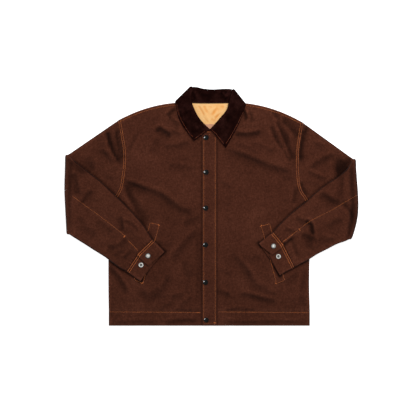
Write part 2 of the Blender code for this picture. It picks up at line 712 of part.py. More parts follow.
def leaf_columns(edge, roll, depth):
    """(plan point, part of the way to the roll, angle of the roll) of the leaf's columns at this depth."""
    length = np.linalg.norm(roll - edge)
    flat = length - ROLL_REACH
    places = [(flat * k / LEAF_COLUMNS, TURN_ANGLES[-1]) for k in range(LEAF_COLUMNS)]
    places += [(flat + (ROLL_REACH - depth) * math.cos(angle), angle) for angle in reversed(TURN_ANGLES)]
    return [(edge + (roll - edge) * place / length, place / length, angle) for place, angle in places]


def leaf_row(edge, roll):
    """Outside and inside points of a front leaf, from its free edge to the roll round the opening."""
    row = []
    for depth in (0.0, LEAF_CLOTH):
        points = []
        for plan, part, angle in leaf_columns(edge, roll, depth):
            arch = LEAF_ARCH * math.sin(math.pi / 2 * min(1.0, part))
            drop = (ROLL_DROP - depth) * (1 - math.sin(angle))
            points.append((*plan, height_under_leaf(*plan) + SEAM_GAP + LEAF_CLOTH - depth + arch - drop))
        row.append(np.array(points))
    return row


def leaf_row_behind(edge, roll):
    """The same behind the neck, where the leaf lies face down on the surface."""
    row = []
    for depth in (0.0, LEAF_CLOTH):
        rise = ROLL_BACK_RISE - depth
        points = [(*plan, depth + rise * (1 - math.sin(angle)))
                  for plan, _, angle in leaf_columns(edge, roll, depth)]
        row.append(np.array(points))
    return row


def leaf_fold(front, behind, outward):
    """Rows that turn the leaf from over the shoulder to behind the neck."""
    rows = []
    for i in range(1, LEAF_FOLD_ROWS):
        theta = math.pi * i / LEAF_FOLD_ROWS
        row = []
        for over, under in zip(front, behind):
            half = (over - under) / 2
            bulge = np.abs(half[:, 2:]) * np.append(outward, 0) * math.sin(theta)
            row.append((over + under) / 2 + half * math.cos(theta) + bulge)
        rows.append(row)
    return rows


def add_collar_leaf():
    """The collar's fall: up the right front, round behind the neck and down the left front."""
    fronts, outwards = [], []
    for out, edge_points, roll_points in ((-1, EDGE_RIGHT, ROLL_RIGHT), (1, EDGE_LEFT, ROLL_LEFT)):
        edge, roll = Curve(edge_points), Curve(roll_points)
        run = roll.share(1) - edge.share(1)
        normal = np.array((-run[1], run[0])) / np.linalg.norm(run)
        outward = normal * out * np.sign(normal[0])
        rows = []
        for part in np.linspace(0, 1, LEAF_ROWS + 1):
            drawn = smooth_step((part - LEAF_INSET_START) / (1 - LEAF_INSET_START))
            inset = outward * LEAF_FOLD_HALF * drawn
            rows.append(leaf_row(edge.share(part) - inset, roll.share(part) - inset))
        fronts.append(rows)
        outwards.append(outward)
    edge, roll = Curve(EDGE_BACK), Curve(ROLL_BACK)
    insets = {0.0: outwards[0] * LEAF_FOLD_HALF, 1.0: outwards[1] * LEAF_FOLD_HALF}
    behind = [leaf_row_behind(edge.share(part), roll.share(part) - insets.get(float(part), 0))
              for part in np.linspace(0, 1, LEAF_BACK_ROWS + 1)]
    rows = fronts[0] + leaf_fold(fronts[0][-1], behind[0], outwards[0]) + behind
    rows += leaf_fold(fronts[1][-1], behind[-1], outwards[1])[::-1] + fronts[1][::-1]
    add_wall("collar_leaf", [row[0] for row in rows], [row[1] for row in rows], CORDUROY)


def add_collar_stand():
    """The inside of the collar behind the neck, from the neck seam up to the roll."""
    low, high = Curve(STAND_BOTTOM), Curve(STAND_TOP)
    rows = []
    for part in np.linspace(0, 1, STAND_COLUMNS):
        sides = smooth_step((abs(part - 0.5) - STAND_SIDE_START) / STAND_SIDE_RAMP)
        start, stop = low.share(part), high.share(part)
        row = []
        for up in STAND_ROWS:
            height = STAND_LOW + (STAND_HIGH - STAND_LOW) * up
            height += STAND_CROWN * math.sin(math.pi * up) * (1 - sides)
            row.append((*(start + (stop - start) * up), height))
        rows.append(row)
    add_strip("collar_stand", rows, STAND_CLOTH, CORDUROY)


def add_collar_front_end():
    """The end of the stand that shows between the two leaves, above the placket."""
    top = LAID + SEAM_GAP + CLOTH
    rows = [[(x, y, top) for x, y in row] for row in FRONT_END_CORNERS]
    add_strip("collar_front_end", rows, CLOTH, CORDUROY)


# ---------------------------------------------------------------- lining and label


def lining_lift(x, y):
    """The lining's creases, in the open neck only."""
    in_neck = smooth_step(((y - NECK_POINT_Y) * NECK_SLOPE - abs(x)) / NECK_FADE)
    below_stand = smooth_step((LINING_FREE_TOP - y) / LINING_TOP_FADE)
    return crease_height(LINING_CREASES, x, y) * in_neck * below_stand


def add_lining():
    """The lining in the neck, and the blank label sewn on it."""
    top = CLOTH + SEAM_GAP + LINING_WALL
    x0, y0, x1, y1 = LINING_CORNERS
    across, along = np.linspace(x0, x1, LINING_GRID[0]), np.linspace(y0, y1, LINING_GRID[1])
    rows = [[(x, y, top + lining_lift(x, y)) for x in across] for y in along]
    add_strip("lining_neck", rows, LINING_WALL, SATIN)
    x0, y0, x1, y1 = LABEL_CORNERS
    rows = [[(x, y, top + SEAM_GAP + LABEL_WALL) for x in (x0, x1)] for y in (y0, y1)]
    add_strip("label_blank", rows, LABEL_WALL, LABEL)


# ---------------------------------------------------------------- snap fasteners


def add_turned(name, profile, height, centre, slot):
    """A round piece of a snap, turned from a profile."""
    shape = bmesh.new()
    corners = [shape.verts.new((SNAP_RADIUS * r, 0, height * z)) for r, z in profile]
    lines = [shape.edges.new(pair) for pair in zip(corners, corners[1:])]
    bmesh.ops.spin(
        shape, geom=corners + lines, axis=(0, 0, 1), cent=(0, 0, 0),
        steps=SNAP_SIDES, angle=2 * math.pi, use_merge=True,
    )
    bmesh.ops.remove_doubles(shape, verts=shape.verts, dist=0.001)
    bmesh.ops.translate(shape, vec=centre, verts=shape.verts)
    add_object(name, shape, slot)


def add_snaps():
    for n, (x, y) in enumerate(SNAP_CENTRES, 1):
        add_turned(f"snap_{n}", CAP_PROFILE, SNAP_HEIGHT, (x, y, placket_top(y) + SEAM_GAP), BLACK_METAL)
    cuff_face = FOREARM_MIDDLE + HALF + SEAM_GAP
    for name, (x, y) in CUFF_CAPS.items():
        centre = (x, y, cuff_face + CLOTH + SEAM_GAP)
        add_turned(f"cuff_cap_{name}", CAP_PROFILE, SNAP_HEIGHT, centre, STEEL)
    for name, (x, y) in CUFF_SOCKETS.items():
        add_turned(f"cuff_socket_{name}", SOCKET_PROFILE, SOCKET_HEIGHT, (x, y, cuff_face), STEEL)


def main():
    for item in list(bpy.data.objects):
        bpy.data.objects.remove(item)
    add_back()
    add_back_band()
    for side in (WEARERS_RIGHT, WEARERS_LEFT):
        add_front(side)
        add_front_band(side)
        add_sleeve(side)
        add_cuff(side)
        add_welt(side)
    add_placket()
    add_collar_leaf()
    add_collar_stand()
    add_collar_front_end()
    add_lining()
    add_snaps()


main()
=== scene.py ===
"""The looks of a brown canvas jacket that lies flat with its front up and its sleeves folded over.

Every cloth piece is a sheet: a coarse grid with the plan and heights of its CAD wall, subdivided, then
raised into folds and puckers, and given its thickness. Lengths here are in millimetres, and a finished
mesh is scaled to metres. +X points to the wearer's left, +Y to the collar and +Z out of the front.
"""

import math
from collections import namedtuple

import bmesh
import bpy
import numpy as np
from mathutils import Matrix, Vector
from mathutils.bvhtree import BVHTree


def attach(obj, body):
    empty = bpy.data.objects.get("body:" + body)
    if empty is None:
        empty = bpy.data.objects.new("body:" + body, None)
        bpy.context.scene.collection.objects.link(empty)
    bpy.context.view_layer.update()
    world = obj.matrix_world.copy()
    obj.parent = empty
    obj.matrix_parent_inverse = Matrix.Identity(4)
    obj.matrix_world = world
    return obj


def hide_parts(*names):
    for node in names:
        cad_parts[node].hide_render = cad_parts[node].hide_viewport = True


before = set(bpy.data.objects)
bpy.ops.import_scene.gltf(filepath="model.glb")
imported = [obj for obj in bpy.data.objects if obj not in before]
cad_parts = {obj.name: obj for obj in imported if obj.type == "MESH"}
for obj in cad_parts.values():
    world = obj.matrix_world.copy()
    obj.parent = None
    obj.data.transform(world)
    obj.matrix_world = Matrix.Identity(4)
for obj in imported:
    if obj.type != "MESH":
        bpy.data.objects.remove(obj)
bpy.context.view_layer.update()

MM = 0.001


def add_object(name, data):
    made = bpy.data.objects.new(name, data)
    bpy.context.scene.collection.objects.link(made)
    return made


# ---------------------------------------------------------------- camera, straight above as in the photograph

CAMERA_HEIGHT = 7.049
CAMERA_PLACE = (-0.0104, -0.0046)
CAMERA_LENS, CAMERA_SENSOR, CAMERA_CLIP = 200.0, 36.0, 50.0


def add_camera():
    data = bpy.data.cameras.new("camera")
    data.lens, data.sensor_width, data.clip_end = CAMERA_LENS, CAMERA_SENSOR, CAMERA_CLIP
    camera = add_object("camera", data)
    camera.location = (*CAMERA_PLACE, CAMERA_HEIGHT)
    bpy.context.scene.camera = camera


add_camera()

# ---------------------------------------------------------------- sizes of the cloth, as in the CAD

CLOTH = 2.2  # canvas with its lining, a little thinner than its CAD wall
BEVEL = 0.5
SEAM_GAP = 0.3
LAID = 8.0  # back wall, air and front wall together
HALF = LAID / 2
EDGE_REACH = 7.0
TURN_ANGLES = [math.radians(a) for a in (0, 30, 60, 90)]
ARMHOLE_GAP = -0.5  # the seam is closed here, where the CAD leaves a gap
FOLD_RADIUS = 5.2
FOLD_STEPS = 5
FOLD_SEAM_SHARE = 0.55  # where the sleeve's back seam crosses the fold
FOREARM_MIDDLE = HALF + 2 * FOLD_RADIUS
HEM_BOTTOM, HEM_TOP = -363.2, -319.0
PLACKET_LEFT, PLACKET_RIGHT = -29.0, 17.0
PLACKET_TOP = 229.0
LAP_LIFT = 2.7
LAP_END, LAP_RAMP = 64.0, 34.0
UNDERLAP_EDGE = 24.0
WELT_TOP, WELT_CLOTH = LAID + 1.9, 1.3
WAVE_LENGTH, WAVE_HEIGHT = 57.0, 0.5
SIDE_ROWS = 8
FRONT_COLUMNS = [0, 0.06, 0.13, 0.21, 0.3, 0.4, 0.51, 0.63, 0.74, 0.83, 0.91, 0.965, 1]
BACK_COLUMN_PLACES = [-235, -190, -145, -105, -79, -62, -22, 22, 58, 76, 100, 140, 185, 230]
SLEEVE_COLUMNS, SEAM_COLUMN = 9, 5
UPPER_ARM_SHARES = (0.0, 0.3, 0.65)
CUFF_COLUMNS = 4
ARM_ANGLES = {"right": (-150, -39), "left": (-30.5, -146)}  # of the upper arm and the forearm
FINE, MEDIUM = 3, 2  # subdivision levels

Side = namedtuple(
    "Side", "name out seam armhole front_edge neckline rise fold forearm cuff welt"
)
Crease = namedtuple("Crease", "x0 y0 x1 y1 half_width height")

RIGHT = Side(
    name="right",
    out=-1,
    seam=[(-313, -319), (-314, -239), (-314, -163), (-313, -87), (-311, -32), (-308, 15)],
    armhole=[(-308, 15), (-291, 35), (-279, 57), (-274, 84), (-270, 114), (-268, 151), (-270, 181),
             (-276, 217), (-284, 263)],
    front_edge=UNDERLAP_EDGE,
    neckline=[(UNDERLAP_EDGE, 222), (-18, 237), (-39, 258), (-55, 284), (-74, 317)],
    rise=15,
    fold=[(-442, -85), (-445, -26), (-448.6, 50), (-447, 111), (-446, 158)],
    forearm=[  # underarm edge, back seam and top edge of each section
        [(-416, -96), (-418, 27), (-414, 136)],
        [(-387, -114), (-384, 2), (-375, 105)],
        [(-356, -134), (-348, -25), (-338, 77)],
        [(-325, -153), (-312, -52), (-303, 44)],
        [(-300, -172), (-285, -74), (-268, 10)],
        [(-284, -184), (-264, -91), (-235, -23)],
        [(-270, -192), (-244, -115), (-205, -59)],
        [(-258, -198), (-226, -145), (-179, -100)],
    ],
    cuff=[  # underarm edge, end beneath, back of the wrist, end that laps over, top edge
        [(-258, -198), (-217, -136), (-226, -145), (-228, -148), (-179, -100)],
        [(-237, -213), (-200, -155), (-202, -162), (-210, -164), (-161, -118)],
        [(-217, -228), (-182, -174), (-181, -181), (-192, -180), (-143, -137)],
    ],
    welt=[(-236, -224), (-208, -235), (-158, -56), (-187, -49)],
)
LEFT = Side(
    name="left",
    out=1,
    seam=[(300, -319), (298, -239), (299, -163), (299, -87), (299, -32), (298, 12)],
    armhole=[(298, 12), (289, 29), (275, 50), (269, 75), (266, 112), (266, 149), (268, 187),
             (274, 224), (279, 256)],
    front_edge=PLACKET_RIGHT + SEAM_GAP,
    neckline=[(PLACKET_RIGHT + SEAM_GAP, 242), (40, 270), (55, 291), (72, 317)],
    rise=14.5,
    fold=[(428, -100), (441, -59), (448, -17), (448, 29), (445, 72), (442, 111), (441, 145)],
    forearm=[
        [(407, -106), (417, 16), (415, 116)],
        [(382, -114), (384, -3), (389, 92)],
        [(352, -130), (350, -21), (352, 70)],
        [(320, -146), (320, -37), (318, 43)],
        [(296, -162), (294, -51), (286, 14)],
        [(278, -171), (268, -71), (251, -13)],
        [(264, -179), (244, -91), (219, -42)],
        [(253, -185), (221, -116), (187, -77)],
    ],
    cuff=[
        [(253, -185), (214, -108), (221, -116), (222, -119), (187, -77)],
        [(231, -197), (193, -126), (199, -138), (203, -134), (166, -94)],
        [(209, -210), (176, -148), (178, -160), (185, -147), (145, -112)],
    ],
    welt=[(198, -235), (224, -226), (178, -52), (151, -59)],
)
SIDES = (RIGHT, LEFT)
NECK_Y = 315.5
SHOULDER_NECK = {"right": (-74, 317), "left": (72, 317)}

ROLL_RIGHT = [(-4.4, 235.5), (-21, 251), (-34, 265), (-44, 280), (-52, 298), (-60, 316), (-63, 340),
              (-61, 367)]
EDGE_RIGHT = [(-53, 199), (-64, 212), (-79, 232), (-94, 255), (-104, 278), (-109, 299), (-114, 319)]
ROLL_LEFT = [(-3.4, 236.5), (17, 259), (34, 279), (45, 291), (50, 303), (53, 316), (60, 337), (67, 359)]
EDGE_LEFT = [(44, 177.5), (59, 205), (72, 227), (84, 252), (97, 281), (104, 297), (109, 311.5)]
ROLL_BACK = [(-61, 367), (-46, 365), (-26, 359.5), (-1, 357), (17, 357.6), (41, 359), (67, 359)]
EDGE_BACK = [(-98, 327), (-72, 325), (0, 322), (72, 324), (91, 321)]
LEAF_CLOTH = 2.4
LEAF_ROWS, LEAF_BACK_ROWS, LEAF_FOLD_ROWS = 9, 8, 5
LEAF_COLUMNS = 5
LEAF_ARCH = 3.4
LEAF_LIFT, LEAF_LIFT_END, LEAF_LIFT_RAMP = 3.3, 88.0, 54.0
LEAF_FOLD_HALF = 5.8
LEAF_INSET_START = 0.55
LEAF_SPACING, STAND_SPACING = (15.5, 9.0), (10.5, 9.0)  # of their grids, along and across
ROLL_REACH, ROLL_DROP = 6.0, 4.6
ROLL_BACK_RISE = 3.6
STAND_BOTTOM = [(-86, 319.5), (-66, 320), (-56, 317.5), (0, 316.5), (52, 317), (62, 319.5), (80, 319.5)]
STAND_TOP = [(-72, 353), (-63, 364), (-46, 364), (-25, 358.3), (-1, 355.8), (17, 356.3), (38, 358),
             (61, 358.2), (69, 348)]
STAND_CLOTH = 2.1
STAND_LOW, STAND_HIGH, STAND_CROWN = 6.3, 6.8, 2.8
STAND_SIDE_START, STAND_SIDE_RAMP = 0.34, 0.12
STAND_COLUMNS = 15
STAND_ROWS = [0, 0.2, 0.45, 0.7, 0.88, 1]
FRONT_END_CORNERS = [[(-19, 229.3), (9, 229.3)], [(-8, 236.4), (1, 236.4)]]

LINING_TOP, LINING_CLOTH = 3.7, 0.8
LINING_CORNERS = (-62, 195, 60, 318.6)
LINING_GRID = (15, 13)
LABEL_CORNERS = (-24, 221, 22, 251)
LABEL_TOP, LABEL_THICK = 4.5, 0.4
NECK_POINT, NECK_SLOPE = 234.0, 0.64  # of the V in which the lining creases

SNAP_CENTRES = [(-16, 210), (-16, 104), (-17, -5), (-18, -117), (-18, -231), (-16, -346)]
CUFF_CAPS = {"right": (-193, -150), "left": (189, -120)}
CUFF_SOCKETS = {"right": (-214, -178), "left": (204, -152)}

# ---------------------------------------------------------------- folds

BODY_FOLDS = [  # the wide ridges
    Crease(-258, 98, -60, 6, 24, 4.4),
    Crease(-243, 48, -206, -2, 13, 2.6),
    Crease(-165, 246, -112, 222, 18, 2.8),
    Crease(-60, -46, -138, -88, 20, 2.6),
    Crease(-150, -262, -62, -286, 20, 2.6),
    Crease(-300, -276, -222, -262, 17, 2.0),
    Crease(-334, 228, -300, 128, 14, 3.6),
    Crease(-400, 170, -330, 118, 19, 3.4),
    Crease(190, 252, 222, 168, 11, 2.0),
    Crease(234, 242, 256, 150, 12, 2.2),
    Crease(58, 188, 240, 128, 21, 3.4),
    Crease(88, -150, 156, -222, 19, 2.6),
    Crease(100, -256, 192, -275, 16, 2.2),
    Crease(230, -282, 290, -258, 17, 1.8),
    Crease(305, 208, 392, 152, 18, 3.4),
]
FOREARM_FOLDS = [
    Crease(-392, 76, -340, 22, 17, 2.6),
    Crease(-420, 30, -400, -50, 16, 2.0),
    Crease(-330, 20, -262, -50, 16, 2.6),
    Crease(-352, -84, -292, -106, 15, 2.0),
    Crease(-262, -46, -226, -78, 11, 2.6),
    Crease(402, 62, 352, 34, 17, 2.6),
    Crease(412, -10, 392, -78, 16, 2.2),
    Crease(330, 20, 262, -30, 15, 2.4),
    Crease(290, -60, 306, -84, 12, 2.0),
    Crease(352, -84, 290, -130, 14, 1.8),
]
LINING_FOLDS = [
    Crease(-30, 308, -8, 262, 5, 0.9),
    Crease(-44, 300, -24, 268, 4, 0.7),
    Crease(22, 306, 8, 268, 5, 0.8),
    Crease(40, 296, 14, 256, 4, 0.7),
    Crease(-4, 306, 2, 280, 5, 0.6),
]

Drop = namedtuple("Drop", "width steep points")  # the cloth steps down across it, from its left to its right
DEEP, STRONG, MIDDLING, LIGHT, FAINT = 0.95, 0.74, 0.56, 0.4, 0.26
SOFT, EVEN, FIRM = 0.33, 0.46, 0.47
DROP_WIDTH = 1.15
DROP_SLOPE, DROP_SHADE = 0.55, 0.8  # of a step's strength: how steep it is and how dark its foot is
DROP_TAIL = 2.1  # how far the dark reaches from a step's line, in widths
DROP_FADE = 0.2
BODY_DROPS = [
    # the right front
    Drop(9, FIRM, [(-267, 83), (-248, 75), (-218, 64), (-187, 53), (-157, 43), (-135, 29), (-114, 11),
                   (-90, -5), (-59, -14), (-35, -17)]),
    Drop(5, FAINT, [(-280, 88), (-258, 80), (-232, 70), (-208, 60), (-186, 52)]),
    Drop(10, MIDDLING, [(-196, -72), (-211, -47), (-229, -17), (-243, 11), (-255, 35), (-263, 60),
                        (-268, 84)]),
    Drop(8, STRONG, [(-178, 224), (-160, 241), (-142, 233), (-114, 215)]),
    Drop(5, LIGHT, [(-130, 278), (-112, 262), (-92, 246)]),
    Drop(6, MIDDLING, [(-140, 276), (-126, 290), (-110, 304)]),
    Drop(5, LIGHT, [(-126, 238), (-110, 228), (-88, 221)]),
    Drop(7, LIGHT, [(-152, 190), (-128, 188), (-100, 190), (-62, 200)]),
    Drop(5, FAINT, [(-216, 230), (-232, 200), (-252, 158)]),
    Drop(7, FAINT, [(-194, 162), (-180, 190), (-166, 216)]),
    Drop(7, FAINT, [(-140, 132), (-90, 126), (-40, 120)]),
    Drop(8, LIGHT, [(-92, -50), (-62, -38), (-30, -26)]),
    Drop(9, LIGHT, [(-130, -172), (-112, -144), (-86, -110), (-58, -80), (-38, -62)]),
    Drop(7, FAINT, [(-162, -104), (-140, -112), (-118, -106)]),
    Drop(8, LIGHT, [(-218, -246), (-206, -264), (-187, -277), (-164, -262), (-144, -232), (-128, -196)]),
    Drop(7, LIGHT, [(-210, -250), (-190, -262), (-170, -250), (-158, -240)]),
    Drop(7, MIDDLING, [(-318, -176), (-300, -192), (-280, -214), (-262, -242), (-248, -272)]),
    Drop(5, FAINT, [(-164, -316), (-142, -300), (-118, -290)]),
    Drop(6, FAINT, [(-102, -312), (-84, -292), (-58, -268)]),
    Drop(7, LIGHT, [(-128, -276), (-104, -268), (-80, -268)]),
    Drop(8, FAINT, [(-62, -230), (-84, -200), (-88, -160)]),
    Drop(8, FAINT, [(-45, -310), (-43, -200), (-44, -110), (-46, -40)]),
    Drop(6, LIGHT, [(-150, -352), (-100, -345), (-30, -344)]),
    Drop(3, MIDDLING, [(-120, -312), (-70, -314), (-28, -315)]),
    Drop(6, FAINT, [(-300, -350), (-230, -348), (-150, -350)]),
    # the right upper sleeve
    Drop(6, DEEP, [(-277, 118), (-283, 132), (-297, 157), (-309, 184), (-318, 212), (-325, 240)]),
    Drop(6, STRONG, [(-273, 134), (-285, 178), (-292, 212), (-297, 244)]),
    Drop(5, LIGHT, [(-344, 178), (-326, 168), (-304, 149), (-286, 130)]),
    Drop(8, LIGHT, [(-363, 158), (-360, 128), (-356, 104)]),
    Drop(7, FAINT, [(-330, 104), (-306, 92), (-288, 84)]),
    # the left front
    Drop(6, STRONG, [(64, 226), (84, 225), (108, 224), (134, 227), (158, 236)]),
    Drop(5, STRONG, [(96, 300), (106, 286), (112, 262)]),
    Drop(6, LIGHT, [(118, 294), (126, 276), (134, 258)]),
    Drop(9, EVEN, [(36, 180), (87, 164), (133, 145), (179, 125), (224, 113), (264, 98)]),
    Drop(6, FAINT, [(120, 196), (160, 184), (196, 168)]),
    Drop(6, FAINT, [(60, 196), (110, 184), (150, 160)]),
    Drop(6, MIDDLING, [(222, 166), (200, 194), (184, 226), (174, 254)]),
    Drop(6, MIDDLING, [(250, 132), (234, 172), (218, 212), (202, 248), (194, 266)]),
    Drop(10, MIDDLING, [(262, 204), (244, 232), (222, 252), (206, 262)]),
    Drop(5, LIGHT, [(206, 256), (196, 272), (180, 292)]),
    Drop(5, LIGHT, [(240, 134), (228, 152), (218, 172)]),
    Drop(7, LIGHT, [(246, 8), (250, 36), (254, 66)]),
    Drop(6, FAINT, [(212, 88), (236, 90), (262, 80)]),
    Drop(7, FAINT, [(24, 84), (42, 72), (62, 62)]),
    Drop(8, LIGHT, [(58, -140), (78, -154), (96, -172), (112, -194), (127, -221), (142, -239), (186, -247)]),
    Drop(7, FAINT, [(92, -154), (120, -154), (152, -144)]),
    Drop(6, FAINT, [(16, -184), (36, -193), (66, -200)]),
    Drop(6, MIDDLING, [(14, -250), (32, -258), (62, -268)]),
    Drop(7, MIDDLING, [(78, -262), (120, -268), (156, -278), (208, -288)]),
    Drop(5, LIGHT, [(162, -250), (180, -258), (202, -266)]),
    Drop(9, FAINT, [(274, -320), (272, -280), (274, -230), (278, -190)]),
    Drop(3, MIDDLING, [(34, -314), (80, -309), (140, -314)]),
    Drop(8, FAINT, [(214, -232), (238, -216), (266, -196)]),
    Drop(6, SOFT, [(8, -344), (40, -348), (100, -350), (190, -348), (312, -350)]),
    # the left upper sleeve
    Drop(5, DEEP, [(270, 124), (270, 150), (269, 172), (274, 203), (283, 236), (290, 262)]),
    Drop(8, FAINT, [(314, 200), (334, 190), (352, 184)]),
    Drop(7, MIDDLING, [(292, 112), (316, 134), (346, 152), (392, 168)]),
    Drop(6, LIGHT, [(292, 112), (320, 98), (352, 82)]),
    Drop(6, FAINT, [(290, 78), (316, 72), (336, 64)]),
    Drop(4, STRONG, [(291, 26), (281, 46), (272, 66), (268, 82)]),
    Drop(13, DEEP, [(386, 70), (383, 96), (381, 118), (384, 140), (400, 158)]),
    Drop(10, STRONG, [(392, 84), (394, 104), (398, 124), (412, 146)]),
    Drop(7, DEEP, [(436, 150), (418, 130), (402, 110), (388, 95)]),
]
FOREARM_DROPS = [
    Drop(8, MIDDLING, [(-426, 168), (-426, 110), (-428, 60), (-431, 10), (-432, -50), (-430, -110)]),
    Drop(9, MIDDLING, [(-452, 158), (-428, 142), (-402, 124), (-372, 100)]),
    Drop(9, MIDDLING, [(-412, 110), (-410, 84), (-406, 60), (-400, 32)]),
    Drop(5, MIDDLING, [(-406, 6), (-392, 22), (-374, 44), (-360, 56)]),
    Drop(6, MIDDLING, [(-272, -24), (-270, -48), (-266, -78)]),
    Drop(5, LIGHT, [(-276, -40), (-258, -42), (-236, -54), (-218, -76)]),
    Drop(7, LIGHT, [(-318, -116), (-296, -119), (-276, -110), (-262, -90)]),
    Drop(5, LIGHT, [(-272, -158), (-256, -142), (-240, -124)]),
    Drop(6, FAINT, [(-300, -150), (-284, -136), (-268, -128)]),
    Drop(9, FAINT, [(-346, -36), (-322, -56), (-296, -80)]),
    Drop(9, FAINT, [(-400, -20), (-380, -60), (-340, -90)]),
    Drop(8, STRONG, [(408, -130), (420, -64), (427, -17), (427, 29), (425, 72), (424, 118), (430, 160)]),
    Drop(7, MIDDLING, [(432, -56), (422, -20), (404, 0), (386, 8)]),
    Drop(9, MIDDLING, [(334, 50), (352, 34), (372, 22), (400, 14)]),
    Drop(7, LIGHT, [(402, 100), (400, 60), (396, 12)]),
    Drop(5, DEEP, [(283, -35), (297, -43), (309, -58), (313, -90)]),
    Drop(8, LIGHT, [(316, -64), (312, -88), (306, -108), (310, -134)]),
    Drop(8, LIGHT, [(276, -78), (298, -90), (328, -98)]),
    Drop(5, LIGHT, [(222, -62), (240, -70), (262, -76)]),
    Drop(9, LIGHT, [(346, -62), (370, -46), (396, -30)]),
    Drop(5, LIGHT, [(262, -160), (250, -126), (240, -98)]),
    Drop(6, LIGHT, [(258, -28), (282, -44), (300, -50)]),
    Drop(8, FAINT, [(330, -84), (350, -96), (380, -96)]),
    Drop(4, STRONG, [(212, -116), (226, -108), (242, -96), (252, -88)]),
]
LINING_DROPS = [
    Drop(4, LIGHT, [(-44, 289), (-34, 277), (-20, 266)]),
    Drop(4.5, LIGHT, [(-38, 312), (-30, 297), (-18, 276)]),
    Drop(4.5, LIGHT, [(-22, 311), (-16, 299), (-9, 286)]),
    Drop(4.5, MIDDLING, [(-4, 280), (7, 292), (20, 306)]),
    Drop(4, LIGHT, [(32, 313), (40, 304), (47, 292)]),
    Drop(4.5, MIDDLING, [(4, 271), (18, 279), (34, 288)]),
    Drop(3.5, LIGHT, [(0, 271), (9, 266), (20, 261)]),
    Drop(3.5, LIGHT, [(-28, 274), (-18, 266), (-6, 260)]),
    Drop(3, FAINT, [(-56, 311), (0, 309.5), (52, 311)]),
    Drop(3, FAINT, [(-2, 309), (0, 304), (3, 300)]),
]
COLLAR_DROPS = [
    Drop(5, STRONG, [(-56, 352), (-50, 338), (-47, 322)]),
    Drop(4, MIDDLING, [(-64, 346), (-60, 334), (-58, 322)]),
    Drop(4, STRONG, [(30, 352), (38, 338), (52, 330)]),
    Drop(4, MIDDLING, [(48, 354), (44, 342), (36, 334)]),
    Drop(6, LIGHT, [(-30, 350), (-10, 340), (14, 344)]),
    Drop(6, LIGHT, [(-96, 300), (-88, 270), (-70, 240)]),
    Drop(7, FAINT, [(-84, 316), (-70, 290), (-56, 262)]),
    Drop(7, LIGHT, [(78, 300), (66, 272), (50, 246)]),
    Drop(6, FAINT, [(60, 250), (46, 236), (36, 214)]),
    Drop(6, LIGHT, [(-66, 226), (-48, 232), (-34, 244)]),
]

FOLD_ENDS = 0.35  # how high the ends of a ridge are, beside its middle
RIPPLES = [(20, 61, 0.22, 0.4), (75, 47, 0.2, 2.0), (128, 83, 0.3, 4.1), (160, 33, 0.12, 1.2),
           (100, 27, 0.09, 5.3)]  # direction in degrees, length, height and phase
FOOT_START, FOOT_RAMP, FOOT_FULL = 0.8, 1.1, 0.3  # where the dark at a step's foot starts and is full
DROP_SPACING, DROP_REACH = 3.0, 4  # between the points of a step's line, and how far it matters, in widths
BESIDE_SPACING, NEAR_SPACING, FAR_AWAY = 6.0, 4.0, 1e9
PLACKET_MIDDLE, UNDER_PLACKET, UNDER_PLACKET_RAMP = -6.0, 24, 30

# ---------------------------------------------------------------- painted shade on the cloth, and how worn it is

# how strongly bend and slope paint shade into the cloth's colour, and the most that ridges are painted paler
PAINTED_SHADING_BEND, PAINTED_SHADING_SLOPE, RIDGE_LEAST = 18.0, 3.0, -0.6
LOWER_LAYERS = 12  # pieces that lie lower than this on the whole are under the forearms and the placket
# Shade painted into the cloth beside the cuff seams and armholes, under a cuff's lap, between a cuff's two rows
# of stitches and on the collar stand.
CUFF_SEAM_SHADE, ARMHOLE_SHADE, CUFF_SHADE, STAND_SHADE = 0.45, 0.3, 0.75, 0.6
CUFF_SEAM_REACH, ARMHOLE_REACH, LAP_REACH = 5.0, 4.0, 7.0  # of the dark beside a seam or under a lap
CUFF_STITCHES, CUFF_STITCH_REACH = 5.0, 2.6  # the hollow between the two rows of stitches on a cuff
BODY_WEAR, SLEEVE_WEAR, CUFF_WEAR, PLACKET_WEAR = 11.0, 9.0, 8.0, 7.0  # how far it reaches from a seam
WELT_WEAR, COLLAR_WEAR = 6.0, 5.0
FOLD_WEAR = 0.5  # round the elbow fold
CUFF_RIPPLE, PLACKET_PUCKER, LINING_STEEP = 0.6, 0.6, 0.5  # of the full height of their folds
FOREARM_START = 1.2  # rows past the elbow fold in which the forearm's folds rise
ARM_FLAT_FROM, ARM_FLAT_RAMP = 0.5, 0.4  # of the way from the armhole to the elbow fold
SHOULDER_START, SHOULDER_RAMP = 0.5, 0.42  # of the way up an armhole
LEAF_FREE, LEAF_FREE_RAMP, LEAF_END, LEAF_END_RAMP = 6, 2.5, 314, 12  # where a leaf takes part in the folds
STAND_FROM, STAND_TO, STAND_RAMP = 318, 357, 8
NECK_SIDE_RAMP, NECK_BACK, NECK_BACK_RAMP = 10, 311.5, 8

# ---------------------------------------------------------------- stitches, snaps and tape

STITCH_PITCH, STITCH_LENGTH, STITCH_WIDTH, STITCH_HEIGHT, STITCH_RAISED = 3.5, 3.1, 0.85, 0.5, 0.12
STITCH_ASIDE, STITCH_TURNED, STITCH_UNEVEN = 0.13, 0.05, 0.06  # how uneven they are
TACK_PITCH, TACK_WIDTH = 1.2, 1.3
SHOULDER_STITCHED = (0.02, 0.98)
ARMHOLE_STITCH_GAPS, SHOULDER_STITCH_GAPS, CUFF_STITCH_GAPS = (0.9, 6.6), (1.6, 7.6), (2.0, 8.0)
BACK_STITCH_GAPS, SLEEVE_STITCH_GAP, WELT_STITCH_GAP = (1.8, 8.0), 1.6, 0.7
PLACKET_STITCHES = (-23.3, 11.7)
PLACKET_RUNS = [((-23.3, 203), (-23.3, -355.3)), ((11.7, 212), (11.7, -355.3)), ((-23.3, -355.3), (5, -355.3)),
                ((-15, 226.3), (-6.5, 226.3)), ((-10, 218.7), (-1.5, 218.7))]
PLACKET_TACKS = [((8, -354.4), (15, -354.4), 3.4), ((-12, 227), (-2, 227), 1.2)]
